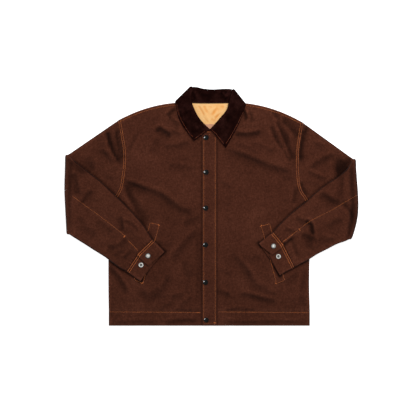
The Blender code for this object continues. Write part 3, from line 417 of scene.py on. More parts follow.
HEM_RUNS = {"right": [(-311, -321.4), (-200, -321.8), (-100, -322.6), (-31, -323.4)],
            "left": [(19, -321.2), (120, -322), (285, -323.3), (298, -323.3)]}
HEM_TACK = ((-43, -323.4), (-34, -323.4), 2.2)
BACK_HEM_RUN = [(-306, -322), (292, -322)]
SLEEVE_SEAMS = {
    "right": [(-426, 32), (-392, 7), (-340, -31), (-298, -63), (-265, -90)],
    "left": [(443, 33), (401, 8), (366, -13), (304, -44), (268, -71)],
}
SLEEVE_VENTS = {"right": [(-254, -103), (-240, -117), (-222, -135)],
                "left": [(264, -72), (240, -90), (216, -108)]}
POCKET_TACKS = {
    "right": [((-163, -54), (-158.5, -58.5)), ((-213, -235), (-207.5, -231.5))],
    "left": [((149, -61), (154, -56.5)), ((195, -234), (200, -236))],
}
SEAM_TACKS = {"right": ((-266.6, -93.7), (-262.6, -88.7)), "left": ((266.4, -67.9), (270.2, -73.1))}
COLLAR_STITCHES = {
    "right": [[(-105.8, 314.8), (-104, 300), (-100, 284), (-91, 262), (-80, 243), (-67, 223), (-55.5, 210.5)],
              [(-52, 206), (-42, 212.5), (-30, 221), (-17.4, 230.3)]],
    "left": [[(98.5, 290), (93, 279), (80, 252), (67, 229), (55, 208), (42.7, 190)],
             [(2.4, 232.6), (13, 222), (24.5, 208), (33, 197), (38, 190)]],
}
CAP_PROFILE = [(0.82, 0), (0.95, 0.02), (1, 0.12), (1, 0.26), (0.97, 0.36), (0.92, 0.41), (0.87, 0.4),
               (0.83, 0.45), (0.75, 0.59), (0.62, 0.74), (0.45, 0.87), (0.25, 0.96), (0.1, 0.99), (0, 1)]
SOCKET_PROFILE = [(0.9, 0), (1, 0.1), (1, 0.4), (0.95, 0.66), (0.84, 0.84), (0.7, 0.86), (0.58, 0.74),
                  (0.5, 0.52), (0.46, 0.22), (0.4, 0.12), (0, 0.12)]
SNAP_RADIUS, SNAP_HEIGHT, SOCKET_HEIGHT = 7.9, 3.4, 2.4
TURNED_STEPS = 48
# where dark reflections are painted: inside this share of the radius in a socket's bowl, and outside the rim
# shares
PAINTED_DARK_BOWL_SHARE, SOCKET_RIM, CAP_RIM = 0.44, 0.93, 0.78  # of the radius
TAPE_LINE = [(-73, 318.2), (-64, 317.4), (-56, 316.1), (-30, 315.4), (0, 315.2), (30, 315.4), (52, 316.1),
             (60, 317.4), (69, 318.2)]
TAPE_HALF, TAPE_MIDDLE = 1.3, 4.9
FLOOR_HALF, FLOOR_BELOW, STUDIO_LIGHT = 6.0, 0.0004, 0.32  # in metres, and the strength of the world

# ---------------------------------------------------------------- lines and heights


def smooth_step(share):
    share = np.clip(share, 0, 1)
    return share * share * (3 - 2 * share)


def fold_height(folds, x, y):
    """The summed height of soft ridges and troughs, each fading towards its ends."""
    total = np.zeros_like(x)
    for f in folds:
        run_x, run_y = f.x1 - f.x0, f.y1 - f.y0
        length = math.hypot(run_x, run_y)
        along = ((x - f.x0) * run_x + (y - f.y0) * run_y) / length
        across = ((y - f.y0) * run_x - (x - f.x0) * run_y) / length
        part = np.clip(along / length, 0, 1)
        hump = FOLD_ENDS + (1 - FOLD_ENDS) * (1 - (2 * part - 1) ** 2)
        beyond = np.maximum(0, np.maximum(-along, along - length))
        total += f.height * hump * np.exp(-((across / f.half_width) ** 2) - (beyond / f.half_width) ** 2)
    return total


def ripple(x, y):
    """The slight unevenness that the whole cloth has."""
    total = np.zeros_like(x)
    for degrees, length, height, phase in RIPPLES:
        angle = math.radians(degrees)
        total += height * np.sin((x * math.cos(angle) + y * math.sin(angle)) * 2 * math.pi / length + phase)
    return total


def directions(points):
    """The unit direction of a line at each of its points."""
    runs = np.gradient(points, axis=0)
    return runs / np.linalg.norm(runs, axis=1)[:, None]


class Curve:
    """A line in plan through a few points, read by the distance along it."""

    PER_SPAN = 8

    def __init__(self, points, smooth=True):
        points = np.array(points, float)
        self.points = self.smoothed(points) if smooth and len(points) > 2 else points
        steps = np.linalg.norm(np.diff(self.points, axis=0), axis=1)
        self.reach = np.concatenate([[0], np.cumsum(steps)])
        self.length = self.reach[-1]

    def smoothed(self, points):
        """The points joined by Catmull-Rom spans."""
        ends = np.vstack([2 * points[0] - points[1], points, 2 * points[-1] - points[-2]])
        found = []
        for a, b, c, d in zip(ends, ends[1:], ends[2:], ends[3:]):
            for t in np.arange(self.PER_SPAN) / self.PER_SPAN:
                found.append(
                    0.5 * (2 * b + (c - a) * t + (2 * a - 5 * b + 4 * c - d) * t**2
                           + (3 * b - a - 3 * c + d) * t**3)
                )
        return np.array(found + [points[-1]])

    def at(self, distance):
        return np.array([np.interp(distance, self.reach, self.points[:, k]) for k in (0, 1)])

    def share(self, part):
        return self.at(part * self.length)

    def even(self, spacing):
        """Points about this far apart along the line, as an array."""
        count = max(2, round(self.length / spacing) + 1)
        return self.at(np.linspace(0, self.length, count)).T


def straight(*points):
    return Curve(points, smooth=False)


def outline(corners):
    return straight(*corners, corners[0])


def near_drops(drops, x, y):
    """For each step in the cloth, the points near it: (which, widths to the left of its line, width,
    strength)."""
    for drop in drops:
        line, width = Curve(drop.points).even(DROP_SPACING), drop.width * DROP_WIDTH
        low, high = line.min(axis=0) - DROP_REACH * width, line.max(axis=0) + DROP_REACH * width
        near = (x > low[0]) & (x < high[0]) & (y > low[1]) & (y < high[1])
        if not near.any():
            continue
        from_x, from_y = x[near][:, None] - line[:, 0], y[near][:, None] - line[:, 1]
        nearest = np.argmin(from_x**2 + from_y**2, axis=1)
        each, run = np.arange(len(nearest)), directions(line)[nearest]
        left = (run[:, 0] * from_y[each, nearest] - run[:, 1] * from_x[each, nearest]) / width
        part = nearest / (len(line) - 1)
        yield near, left, width, drop.steep * smooth_step(np.minimum(part, 1 - part) / DROP_FADE)


def drop_height(drops, x, y):
    """The summed height of steps in the cloth: a ridge on one side of each line and a trough on the other."""
    total = np.zeros_like(x)
    for near, left, width, strength in near_drops(drops, x, y):
        total[near] += DROP_SLOPE * strength * width * left * np.exp(-(left**2) / 2)
    return total


def drop_shade(drops, x, y):
    """How much of the light the steps keep from the cloth at their feet, which is darkest close to a step."""
    lit = np.ones_like(x)
    for near, left, _, strength in near_drops(drops, x, y):
        foot = smooth_step((FOOT_START - left) / FOOT_RAMP)
        foot *= np.exp(-((np.maximum(0, -left - FOOT_FULL) / DROP_TAIL) ** 2))
        lit[near] *= 1 - DROP_SHADE * strength * foot
    return 1 - lit


def beside(curve, offset):
    """A curve to the left of another one at this distance, seen along it."""
    points = curve.even(BESIDE_SPACING)
    runs = directions(points)
    return straight(*(points + offset * np.stack([-runs[:, 1], runs[:, 0]], axis=1)))


def distance_along(curve, x, y):
    """For each point, its distance to a curve and how far along the curve it is."""
    line = curve.even(NEAR_SPACING)
    best, place = np.full(x.shape, FAR_AWAY), np.zeros(x.shape)
    for (px, py), far in zip(line, np.linspace(0, curve.length, len(line))):
        d = np.hypot(x - px, y - py)
        nearer = d < best
        best, place = np.where(nearer, d, best), np.where(nearer, far, place)
    return best, place


def near_lines(curves, x, y, reach):
    """1 on the curves and 0 beyond their reach."""
    near = np.full(x.shape, FAR_AWAY)
    for curve in curves:
        near = np.minimum(near, distance_along(curve, x, y)[0])
    return np.clip(1 - near / reach, 0, 1)


Pucker = namedtuple("Pucker", "curve reach wave height")


def pucker_height(puckers, x, y):
    """The short ripples that a tight seam draws in the cloth on both sides of it."""
    total = np.zeros_like(x)
    for p in puckers:
        near, along = distance_along(p.curve, x, y)
        turn = 2 * math.pi * along / p.wave
        uneven = np.sin(turn + 1.3 * np.sin(turn * 0.37) + 0.8 * np.sin(turn * 0.19 + 2))
        total += p.height * uneven * np.exp(-((near / p.reach) ** 2))
    return total


ARMHOLES = {side.name: Curve(side.armhole) for side in SIDES}
BODY_PUCKERS = [Pucker(ARMHOLES[side.name], 13, 12.5, 0.42) for side in SIDES] + [
    Pucker(Curve([(-312, -319), (-29, -321)]), 14, 17, 0.4),
    Pucker(Curve([(17, -319), (299, -319)]), 14, 16, 0.4),
    Pucker(Curve([(-29, -310), (-29, 190)]), 9, 23, 0.28),
    Pucker(Curve([(17, -310), (17, 190)]), 9, 21, 0.28),
]
FOREARM_PUCKERS = [
    Pucker(Curve([(-447, 49), (-392, 7), (-298, -63), (-226, -145)]), 8, 13, 0.3),
    Pucker(Curve([(446, 35), (401, 8), (304, -44), (221, -116)]), 8, 13, 0.3),
    Pucker(Curve([(-258, -198), (-226, -145), (-179, -100)]), 9, 11, 0.35),
    Pucker(Curve([(253, -185), (221, -116), (187, -77)]), 9, 11, 0.35),
]


def layer_height(folds, drops, puckers, x, y):
    return fold_height(folds, x, y) + drop_height(drops, x, y) + pucker_height(puckers, x, y) + ripple(x, y)


def body_height(x, y):
    """How much higher than flat the fronts and the upper sleeves lie, which is nothing under the placket."""
    off_placket = smooth_step((np.abs(x - PLACKET_MIDDLE) - UNDER_PLACKET) / UNDER_PLACKET_RAMP)
    return layer_height(BODY_FOLDS, BODY_DROPS, BODY_PUCKERS, x, y) * off_placket


def forearm_height(x, y):
    return layer_height(FOREARM_FOLDS, FOREARM_DROPS, FOREARM_PUCKERS, x, y)


def raised_part(z, middle):
    """0 at the edge of a layer, where its two walls meet, and 1 on its face."""
    return np.clip((np.abs(z - middle) - SEAM_GAP / 2) / (HALF - SEAM_GAP / 2), 0, 1)


# ---------------------------------------------------------------- meshes


def made_mesh(name, shape):
    """The mesh of a bmesh, which is then freed."""
    mesh = bpy.data.meshes.new(name)
    shape.to_mesh(mesh)
    shape.free()
    return mesh


def values_of(items, key, width=1, kind=float):
    """One property of all items of a mesh, as an array."""
    found = np.zeros(len(items) * width, kind)
    items.foreach_get(key, found)
    return found.reshape(-1, width) if width > 1 else found


def points_of(mesh):
    return values_of(mesh.vertices, "co", 3)


def corner_owners(mesh):
    """The vertex at each corner of each face."""
    return values_of(mesh.loops, "vertex_index", kind=int)


def write_values(mesh, name, values):
    layer = mesh.attributes.new(name, "FLOAT", "POINT")
    layer.data.foreach_set("value", values.astype(np.float32))


def turn(angle):
    return EDGE_REACH * (1 - math.cos(angle))


def edge_height(share, gap=SEAM_GAP / 2):
    return gap + (HALF - gap) * share


def grid_mesh(name, rows):
    """A mesh of a grid of points, with their row and column in its UV map "grid"."""
    rows = np.array(rows, float)
    count, columns = rows.shape[:2]
    shape = bmesh.new()
    grid = bmesh.ops.create_grid(shape, x_segments=columns - 1, y_segments=count - 1, size=1)
    for n, vert in enumerate(grid["verts"]):
        vert.index = n
        vert.co = rows[n // columns, n % columns]
    layer = shape.loops.layers.uv.new("grid")
    for face in shape.faces:
        for loop in face.loops:
            loop[layer].uv = divmod(loop.vert.index, columns)
    return made_mesh(name, shape)


def smooth_grid(name, rows, level=FINE):
    """A grid split once as it is, so that it keeps its outline, and then smoothly: (mesh, its points)."""
    carrier = add_object("carrier", grid_mesh(name, rows))
    for kind, count in (("SIMPLE", 1), ("CATMULL_CLARK", level - 1)):
        modifier = carrier.modifiers.new("Subdivision", "SUBSURF")
        modifier.subdivision_type = kind
        modifier.levels = modifier.render_levels = count
        modifier.boundary_smooth = modifier.uv_smooth = "PRESERVE_CORNERS"
    evaluated = carrier.evaluated_get(bpy.context.evaluated_depsgraph_get())
    mesh = bpy.data.meshes.new_from_object(evaluated)
    bpy.data.objects.remove(carrier)
    return mesh, points_of(mesh)


def grid_places(mesh):
    """The row and the column of each vertex, read from the UV map."""
    found = np.zeros((len(mesh.vertices), 2))
    found[corner_owners(mesh)] = values_of(mesh.uv_layers["grid"].data, "uv", 2)
    return found


# ---------------------------------------------------------------- sheets


def face_outwards(mesh, outward):
    """Turns the mesh over if its faces point away from outward(centre)."""
    if sum(face.area * Vector(face.normal).dot(outward(face.center)) for face in mesh.polygons) < 0:
        mesh.flip_normals()


def up(centre):
    return Vector((0, 0, 1))


def down(centre):
    return Vector((0, 0, -1))


def write_painted_shading(mesh, extra_painted_shade):
    """Painted shade as an attribute: 0 on flat cloth, above it in troughs and on slopes, where the colour is
    painted darker, and below it on ridges, where the colour is a little paler.

    The shade passed in is painted too: the shadow where another layer lies over the edge of what shows, and the
    dark at the feet of the cloth's steps."""
    ends = values_of(mesh.edges, "vertices", 2, int)
    normals = values_of(mesh.vertices, "normal", 3)
    points = points_of(mesh) / MM
    apart = points[ends[:, 1]] - points[ends[:, 0]]
    squared = np.maximum((apart**2).sum(axis=1), 1e-3)
    count = np.bincount(ends.ravel(), minlength=len(points))
    bend = np.zeros(len(points))
    for k, sign in ((0, 1), (1, -1)):
        np.add.at(bend, ends[:, k], sign * (apart * normals[ends[:, k]]).sum(axis=1) / squared)
    bend /= count
    for _ in range(2):
        around = np.bincount(ends[:, 0], bend[ends[:, 1]], len(points))
        around += np.bincount(ends[:, 1], bend[ends[:, 0]], len(points))
        bend = (bend + around / count) / 2
    slope = 1 - np.abs(normals[:, 2])
    values = np.clip(bend * PAINTED_SHADING_BEND, RIDGE_LEAST, 1) + np.clip(slope * PAINTED_SHADING_SLOPE, 0, 1) + extra_painted_shade
    write_values(mesh, "hollow", np.clip(values, RIDGE_LEAST, 1))


def cover_edges(side):
    """The outline of a forearm and its cuff, which lie on the layers below: (curve, how dark, how far)."""
    rows = side.forearm + [(cuff[0], cuff[2], cuff[4]) for cuff in side.cuff[1:]]
    hem = side.cuff[-1]
    return [(straight(*(row[0] for row in rows)), 0.8, 4.5), (straight(*(row[2] for row in rows)), 0.85, 4.5),
            (straight(hem[0], hem[1], hem[3], hem[4]), 1.9, 5.5)]


COVERS = [cover for side in SIDES for cover in cover_edges(side)]
COVERS += [(straight((edge, HEM_BOTTOM), (edge, 196)), 0.5, 3.5) for edge in (PLACKET_LEFT, PLACKET_RIGHT)]


def under_edges(points):
    """How much of the light the edges of the forearms, cuffs and placket keep from the layers below them."""
    x, y, z = points.T
    shade = np.zeros_like(x)
    if z.mean() < LOWER_LAYERS:
        for curve, dark, far in COVERS:
            shade = np.maximum(shade, dark * np.exp(-((distance_along(curve, x, y)[0] / far) ** 2)))
    return shade


def turned_frame(points, degrees):
    """Plan coordinates turned, so that the weave runs along the piece."""
    angle = math.radians(degrees)
    x, y = points[:, 0], points[:, 1]
    return np.stack([x * math.cos(angle) + y * math.sin(angle), y * math.cos(angle) - x * math.sin(angle)], 1)


CLOTH_PIECES, SURFACES = {}, {}  # the finished sheets and their faces, by the names of their CAD nodes


def add_sheet(node, mesh, points, slot="canvas", outward=up, weave=None, wear=0.0, shade=0.0, thickness=CLOTH,
              bevel=BEVEL):
    """Finishes a piece of cloth that stands for a CAD node. weave holds its flat coordinates for each vertex or
    for each corner of each face, wear says where it is rubbed and shade is the shade of its folds, painted into
    its colour."""
    mesh.vertices.foreach_set("co", points.ravel() * MM)
    mesh.update()
    face_outwards(mesh, outward)
    weave = turned_frame(points, 0) if weave is None else weave
    mesh.uv_layers.new(name="weave").data.foreach_set(
        "uv", (weave[corner_owners(mesh)] if len(weave) == len(points) else weave).ravel())
    write_values(mesh, "wear", np.zeros(len(points)) + wear)
    write_painted_shading(mesh, shade + under_edges(points))
    mesh.uv_layers.remove(mesh.uv_layers["grid"])
    mesh.uv_layers["weave"].active_render = True
    mesh.shade_smooth()
    mesh.materials.clear()
    mesh.materials.append(FINISHES[slot])
    piece = add_object(node + "_cloth", mesh)
    faces = [tuple(face.vertices) for face in mesh.polygons]
    SURFACES[node] = BVHTree.FromPolygons([vert.co for vert in mesh.vertices], faces)
    wall = piece.modifiers.new("Solidify", "SOLIDIFY")
    wall.thickness = thickness * MM
    wall.offset = -1
    if bevel:
        soft = piece.modifiers.new("Bevel", "BEVEL")
        soft.width = bevel * MM
        soft.segments = 2
        soft.limit_method = "ANGLE"
        soft.angle_limit = math.radians(60)
    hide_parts(node)
    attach(piece, "root")
    CLOTH_PIECES[node] = piece


# ---------------------------------------------------------------- shader nodes


class Signal:
    """A socket of a material, with the usual operators on its values."""

    def __init__(self, material, socket):
        self.material, self.socket = material, socket

    def math(self, operation, *others):
        return self.material.node("ShaderNodeMath", {"operation": operation}, [self, *others])

    def __add__(self, other):
        return self.math("ADD", other)

    def __sub__(self, other):
        return self.math("SUBTRACT", other)

    def __rsub__(self, other):
        return self.material.node("ShaderNodeMath", {"operation": "SUBTRACT"}, [other, self])

    def __mul__(self, other):
        return self.math("MULTIPLY", other)

    def __pow__(self, other):
        return self.math("POWER", other)

    def __abs__(self):
        return self.math("ABSOLUTE")

    __radd__, __rmul__ = __add__, __mul__

    def wave(self, length):
        """A sine that crosses 0 at every one of these lengths."""
        return (self * (math.pi / length)).math("SINE")

    def above(self, limit):
        return self.math("GREATER_THAN", limit)

    def clipped(self):
        return self.math("MINIMUM", 1.0).math("MAXIMUM", 0.0)

    def output(self, name):
        return Signal(self.material, self.socket.node.outputs[name])


class Finish:
    """A material with a Principled shader, and the nodes that feed it."""

    def __init__(self, name, **constants):
        self.data = bpy.data.materials.new(name)
        self.data.use_nodes = True
        self.tree = self.data.node_tree
        self.shader = self.tree.nodes["Principled BSDF"]
        for key, value in constants.items():
            self.shader.inputs[key.replace("_", " ")].default_value = value

    def node(self, kind, settings=None, inputs=(), output=0):
        """A node of this type, with its settings made first and then its sockets set or linked."""
        made = self.tree.nodes.new(kind)
        for key, value in (settings or {}).items():
            if key == "stops":
                self.set_stops(made.color_ramp, value)
            else:
                setattr(made, key, value)
        pairs = inputs.items() if isinstance(inputs, dict) else enumerate(inputs)
        for key, value in pairs:
            if isinstance(value, Signal):
                self.tree.links.new(value.socket, made.inputs[key])
            elif value is not None:
                made.inputs[key].default_value = value
        return Signal(self, made.outputs[output])

    @staticmethod
    def set_stops(ramp, colours):
        """Colours that follow each other in even steps."""
        while len(ramp.elements) < len(colours):
            ramp.elements.new(0.5)
        for element, place, colour in zip(ramp.elements, np.linspace(0, 1, len(colours)), colours):
            element.position, element.color = place, (*colour, 1)

    def ramp(self, tone, *colours):
        return self.node("ShaderNodeValToRGB", {"stops": colours}, [tone])

    def blend(self, factor, first, second):
        return self.node("ShaderNodeMix", {"data_type": "RGBA"}, {0: factor, 6: first, 7: second}, 2)

    def noise(self, vector, scale, detail=2.0, roughness=0.5, stretch=None):
        if stretch:
            vector = self.node("ShaderNodeMapping", None, {"Vector": vector, "Scale": stretch})
        inputs = {"Vector": vector, "Scale": scale, "Detail": detail, "Roughness": roughness}
        return self.node("ShaderNodeTexNoise", None, inputs)

    def object_place(self):
        return self.node("ShaderNodeTexCoord", None, (), "Object")

    def weave_place(self):
        """The piece's own flat coordinates in millimetres, as (vector, across, along)."""
        vector = self.node("ShaderNodeUVMap", {"uv_map": "weave"})
        parts = self.node("ShaderNodeSeparateXYZ", None, [vector])
        return vector, parts.output("X"), parts.output("Y")

    def attribute(self, name):
        return self.node("ShaderNodeAttribute", {"attribute_name": name}, (), "Fac")

    def shaded(self, colour, amount):
        """The colour with painted shade: darker in the cloth's troughs, on its slopes and where steps or
        covering edges keep the light off, and a little paler on its ridges.
        """
        factor = 1 - self.attribute("hollow") * amount
        return self.node("ShaderNodeVectorMath", {"operation": "SCALE"}, {"Vector": colour, "Scale": factor})

    def bump(self, height, distance, strength):
        inputs = {"Height": height, "Distance": distance, "Strength": strength}
        return self.node("ShaderNodeBump", None, inputs)

    def feed(self, **signals):
        for key, value in signals.items():
            self.tree.links.new(value.socket, self.shader.inputs[key.replace("_", " ")])
        return self.data


def grey(value):
    return (value, value, value, 1)


YARN, WALE, LABEL_RIB = 0.85, 1.9, 0.55  # from one yarn, ridge of corduroy or rib to the next


def canvas_finish():
    """Brown duck canvas: a plain weave of slubbed yarns, rubbed paler along its seams."""
    f = Finish("canvas", Sheen_Weight=0.05, Sheen_Roughness=0.5, Specular_IOR_Level=0.12)
    vector, across, along = f.weave_place()
    warp, weft = across.wave(YARN), along.wave(YARN)
    over = (warp * weft).above(0.0)
    height = abs(warp) * over + abs(weft) * (1 - over)
    slub_warp = f.noise(vector, 1.0, 3.0, stretch=(1.2, 0.05, 1))
    slub_weft = f.noise(vector, 1.0, 3.0, stretch=(0.05, 1.2, 1))
    fibre = f.noise(vector, 1.6, 4.0, 0.65)
    patches = f.noise(f.object_place(), 11.0, 4.0, 0.55)
    mottle = f.noise(f.object_place(), 190.0, 2.0, 0.7)
    tone = (fibre - 0.5) * 0.6 + (slub_warp - 0.5) * 0.7 + (slub_weft - 0.5) * 0.5
    tone = tone + (patches - 0.5) * 0.62 + (mottle - 0.5) * 1.12
    colour = f.ramp(tone + 0.5, (0.03, 0.008, 0.004), (0.068, 0.0195, 0.0102), (0.12, 0.037, 0.021))
    rubbed = (f.attribute("wear") * (0.35 + fibre * 0.9)).clipped()
    # Painted shade from the folds and the covering edges darkens the rubbed colour.
    colour = f.shaded(f.blend(rubbed * 0.22, colour, (0.13, 0.044, 0.025, 1)), 0.78)
    rough = 0.93 - rubbed * 0.1 + (fibre - 0.5) * 0.1
    normal = f.bump(height + fibre * 0.5 + (slub_warp + slub_weft) * 0.35, 0.00028, 0.55)
    return f.feed(Base_Color=colour, Roughness=rough, Normal=normal)


def corduroy_finish():
    """Very dark corduroy: rounded wales with a brushed pile, painted darker in the grooves between the wales
    and so paler on their ridges.
    """
    f = Finish("corduroy", Sheen_Weight=0.05, Sheen_Roughness=0.35, Specular_IOR_Level=0.03,
               Sheen_Tint=(0.5, 0.1, 0.07, 1))
    vector, across, _ = f.weave_place()
    ridge = abs(across.wave(WALE))
    pile = f.noise(vector, 2.4, 4.0, 0.7)
    nap = f.noise(f.object_place(), 42.0, 4.0, 0.65)
    # The wales' colour is painted shade: darker in their grooves.
    tone = ridge * 0.45 + (pile - 0.5) * 0.6 + (nap - 0.5) * 1.7 + 0.2
    colour = f.ramp(tone, (0.0035, 0.0009, 0.0007), (0.012, 0.003, 0.0023), (0.034, 0.0105, 0.0085))
    normal = f.bump(ridge ** 0.6 + pile * 0.35, 0.0006, 0.8)
    # The colour is darkened by the painted shade of the collar's folds.
    return f.feed(Base_Color=f.shaded(colour, 0.6), Roughness=0.9 - (nap - 0.5) * 0.1, Normal=normal)


def satin_finish():
    """Peach satin: fine floats in one direction, with a soft gloss that the creases break up and a deeper
    orange painted into the creases as shade.
    """
    f = Finish("satin", Sheen_Weight=0.1, Specular_IOR_Level=0.5)
    vector, across, _ = f.weave_place()
    floats = f.noise(vector, 1.0, 3.0, 0.6, stretch=(2.6, 0.12, 1))
    cloudy = f.noise(f.object_place(), 40.0, 3.0)
    tone = (floats - 0.5) * 0.6 + (cloudy - 0.5) * 0.8 + 0.5
    colour = f.ramp(tone, (0.88, 0.42, 0.12), (0.97, 0.55, 0.21), (1.0, 0.7, 0.36))
    # Painted shade: the creases are painted a deeper orange.
    colour = f.blend((f.attribute("hollow") * 1.3).clipped(), colour, (0.86, 0.36, 0.085, 1))
    normal = f.bump(floats + (across * 9.0).math("SINE") * 0.2, 0.00006, 0.5)
    return f.feed(Base_Color=colour, Roughness=0.36 + (floats - 0.5) * 0.16, Normal=normal)


def label_finish():
    """A plain woven patch."""
    f = Finish("label_cloth", Specular_IOR_Level=0.3)
    vector, _, along = f.weave_place()
    ribs = abs(along.wave(LABEL_RIB))
    yarn = f.noise(vector, 2.0, 3.0)
    tone = (yarn - 0.5) * 0.7 + ribs * 0.25 + 0.35
    colour = f.ramp(tone, (0.55, 0.24, 0.13), (0.7, 0.35, 0.2), (0.82, 0.46, 0.3))
    normal = f.bump(ribs + yarn * 0.4, 0.00015, 0.6)
    return f.feed(Base_Color=colour, Roughness=0.72 + (yarn - 0.5) * 0.15, Normal=normal)


def thread_finish(name, *colours):
    """Topstitching thread, twisted and a little faded."""
    f = Finish(name, Specular_IOR_Level=0.35, Sheen_Weight=0.15)
    place = f.object_place()
    twist, faded = f.noise(place, 1800.0, 2.0, 0.6), f.noise(place, 60.0, 3.0, 0.6)
    colour = f.ramp((twist - 0.5) * 0.6 + (faded - 0.5) * 1.1 + 0.5, *colours)
    return f.feed(Base_Color=colour, Roughness=0.62 + (faded - 0.5) * 0.2, Normal=f.bump(twist, 0.0002, 0.6))


def tape_finish():
    """The dark tape over the seam of the neck."""
    f = Finish("neck_tape", Sheen_Weight=0.1)
    ribs = f.noise(f.object_place(), 1200.0, 2.0)
    colour = f.ramp(ribs, (0.02, 0.007, 0.004), (0.07, 0.026, 0.014))
    return f.feed(Base_Color=colour, Normal=f.bump(ribs, 0.0002, 0.5), Roughness=0.85 - (ribs - 0.5) * 0.1)


def black_metal_finish():
    """Glossy black enamel on a snap cap, with fine scuffs."""
    f = Finish("black_metal", Specular_IOR_Level=0.14)
    place = f.object_place()
    scuffs, cloud = f.noise(place, 700.0, 5.0, 0.7), f.noise(place, 160.0, 2.0)
    rubbed = ((scuffs - 0.62) * 6.0).clipped()
    colour = f.blend(rubbed * 0.5, (0.002, 0.0023, 0.0023, 1), grey(0.02))
    rough = 0.12 + rubbed * 0.25 + (cloud - 0.5) * 0.08
    return f.feed(Base_Color=colour, Roughness=rough, Normal=f.bump(scuffs, 0.00002, 0.4))


def steel_finish():
    """Nickel plate, softly brushed and slightly tarnished, with dark reflections painted into its colour in a
    socket's bowl and round the rim where a cap or socket turns away.
    """
    f = Finish("steel")
    place = f.object_place()
    brushed, tarnish = f.noise(place, 900.0, 4.0, 0.7), f.noise(place, 220.0, 3.0)
    colour = f.ramp(tarnish, (0.74, 0.73, 0.68), (0.95, 0.94, 0.89))
    # Painted reflection: dark in a socket's bowl and round a rim.
    colour = f.blend(f.attribute("recess") * 0.9, colour, grey(0.05))
    return f.feed(Base_Color=colour, Roughness=0.42 + (brushed - 0.5) * 0.25, Metallic=0.96 - tarnish * 0.06,
                  Normal=f.bump(brushed, 0.00003, 0.5))


def floor_finish():
    f = Finish("floor", Roughness=0.9, Emission_Color=grey(1.0), Emission_Strength=0.8, Specular_IOR_Level=0.1)
    return f.feed(Base_Color=f.blend(f.noise(f.object_place(), 3.0), grey(0.94), grey(0.96)))


FINISHES = {"canvas": canvas_finish(), "corduroy": corduroy_finish(), "satin": satin_finish(),
            "label_cloth": label_finish(), "black_metal": black_metal_finish(), "steel": steel_finish()}
TAPE = tape_finish()
ORANGE_THREAD = thread_finish("thread", (0.26, 0.052, 0.012), (0.56, 0.14, 0.027), (0.8, 0.25, 0.05))
RUSTY_THREAD = thread_finish("collar_thread", (0.12, 0.022, 0.009), (0.32, 0.068, 0.024), (0.52, 0.14, 0.04))

# ---------------------------------------------------------------- fronts, back and hem bands

Row = namedtuple("Row", "reach armpit shoulder")
FLAT = TURN_ANGLES[-1]
SEAM_ROW = Row(0, TURN_ANGLES[0], FLAT)
HEM_SEAM, HEM_EDGE = (straight((-314, y), (300, y)) for y in (HEM_TOP, HEM_BOTTOM))


def column_distance(length, seam, k):
    if k <= SEAM_COLUMN:
        return seam * k / SEAM_COLUMN
    return seam + (length - seam) * (k - SEAM_COLUMN) / (SLEEVE_COLUMNS - SEAM_COLUMN)


def armhole_rows(length):
    """Where the rows and the sleeve's columns meet an armhole, as distances from the armpit."""
    seam = length * SEAM_COLUMN / SLEEVE_COLUMNS
    rows = [Row(turn(angle), angle, FLAT) for angle in TURN_ANGLES]
    rows += [Row(column_distance(length, seam, k), FLAT, FLAT) for k in range(1, SLEEVE_COLUMNS)]
    return rows + [Row(length - turn(angle), FLAT, angle) for angle in reversed(TURN_ANGLES)]


def shoulder_bulge(side, part):
    return 4 * side.rise * part * (1 - part)


def row_flatness(row, angle, at_edge):
    """How flat a column of a row lies: 0 where the two walls meet."""
    armpit, shoulder = math.sin(row.armpit), math.sin(row.shoulder)
    return min(armpit, shoulder) if at_edge else min(shoulder, max(math.sin(angle), armpit))


def rises_with_shoulder(row, length):
    """0 in the lower half of the armhole and 1 near the shoulder."""
    return float(smooth_step((row.reach / length - SHOULDER_START) / SHOULDER_RAMP))


def front_row(side, start, stop, row, bulge):
    """One row of a front from its side edge to its front edge."""
    length = np.linalg.norm(stop - start)
    columns = [(angle, 0) for angle in TURN_ANGLES] + [(FLAT, part) for part in FRONT_COLUMNS[1:]]
    points = []
    for j, (angle, flat_part) in enumerate(columns):
        part = (turn(angle) + (length - EDGE_REACH) * flat_part) / length
        plan = start + (stop - start) * part + (0, bulge * shoulder_bulge(side, part))
        points.append((*plan, HALF + edge_height(row_flatness(row, angle, j == 0))))
    return points


def side_seam_rows(side, low, high, seam, count):
    rows = []
    for part in np.linspace(0, 1, count):
        stop = np.array((side.front_edge, low + (high - low) * part))
        rows.append(front_row(side, seam.share(part), stop, SEAM_ROW, 0))
    return rows


def front_rows(side):
    """Rows from the hem up to the armpit, then rows that fan round to the shoulder seam."""
    armhole, armpit_y = ARMHOLES[side.name], side.armhole[0][1]
    neck = straight((side.front_edge, armpit_y), *side.neckline)
    rows = side_seam_rows(side, HEM_TOP, armpit_y, Curve(side.seam), SIDE_ROWS + 1)[:-1]
    for row in armhole_rows(armhole.length):
        reach = row.reach * neck.length / armhole.length
        if row.shoulder < FLAT:
            reach = neck.length - turn(row.shoulder)
        bulge = rises_with_shoulder(row, armhole.length)
        rows.append(front_row(side, armhole.at(row.reach), neck.at(reach), row, bulge))
    return rows


def add_body_piece(node, side, rows, worn):
    """A front or a hem band: canvas over the back, raised into folds."""
    mesh, points = smooth_grid(node, rows)
    x, y, z = points.T
    lift = body_height(x, y)
    if side.out > 0:
        lift = lift + LAP_LIFT * smooth_step((LAP_END - x) / LAP_RAMP)
    points[:, 2] += lift * raised_part(z, HALF)
    add_sheet(node, mesh, points, wear=near_lines(worn, x, y, BODY_WEAR), shade=drop_shade(BODY_DROPS, x, y))


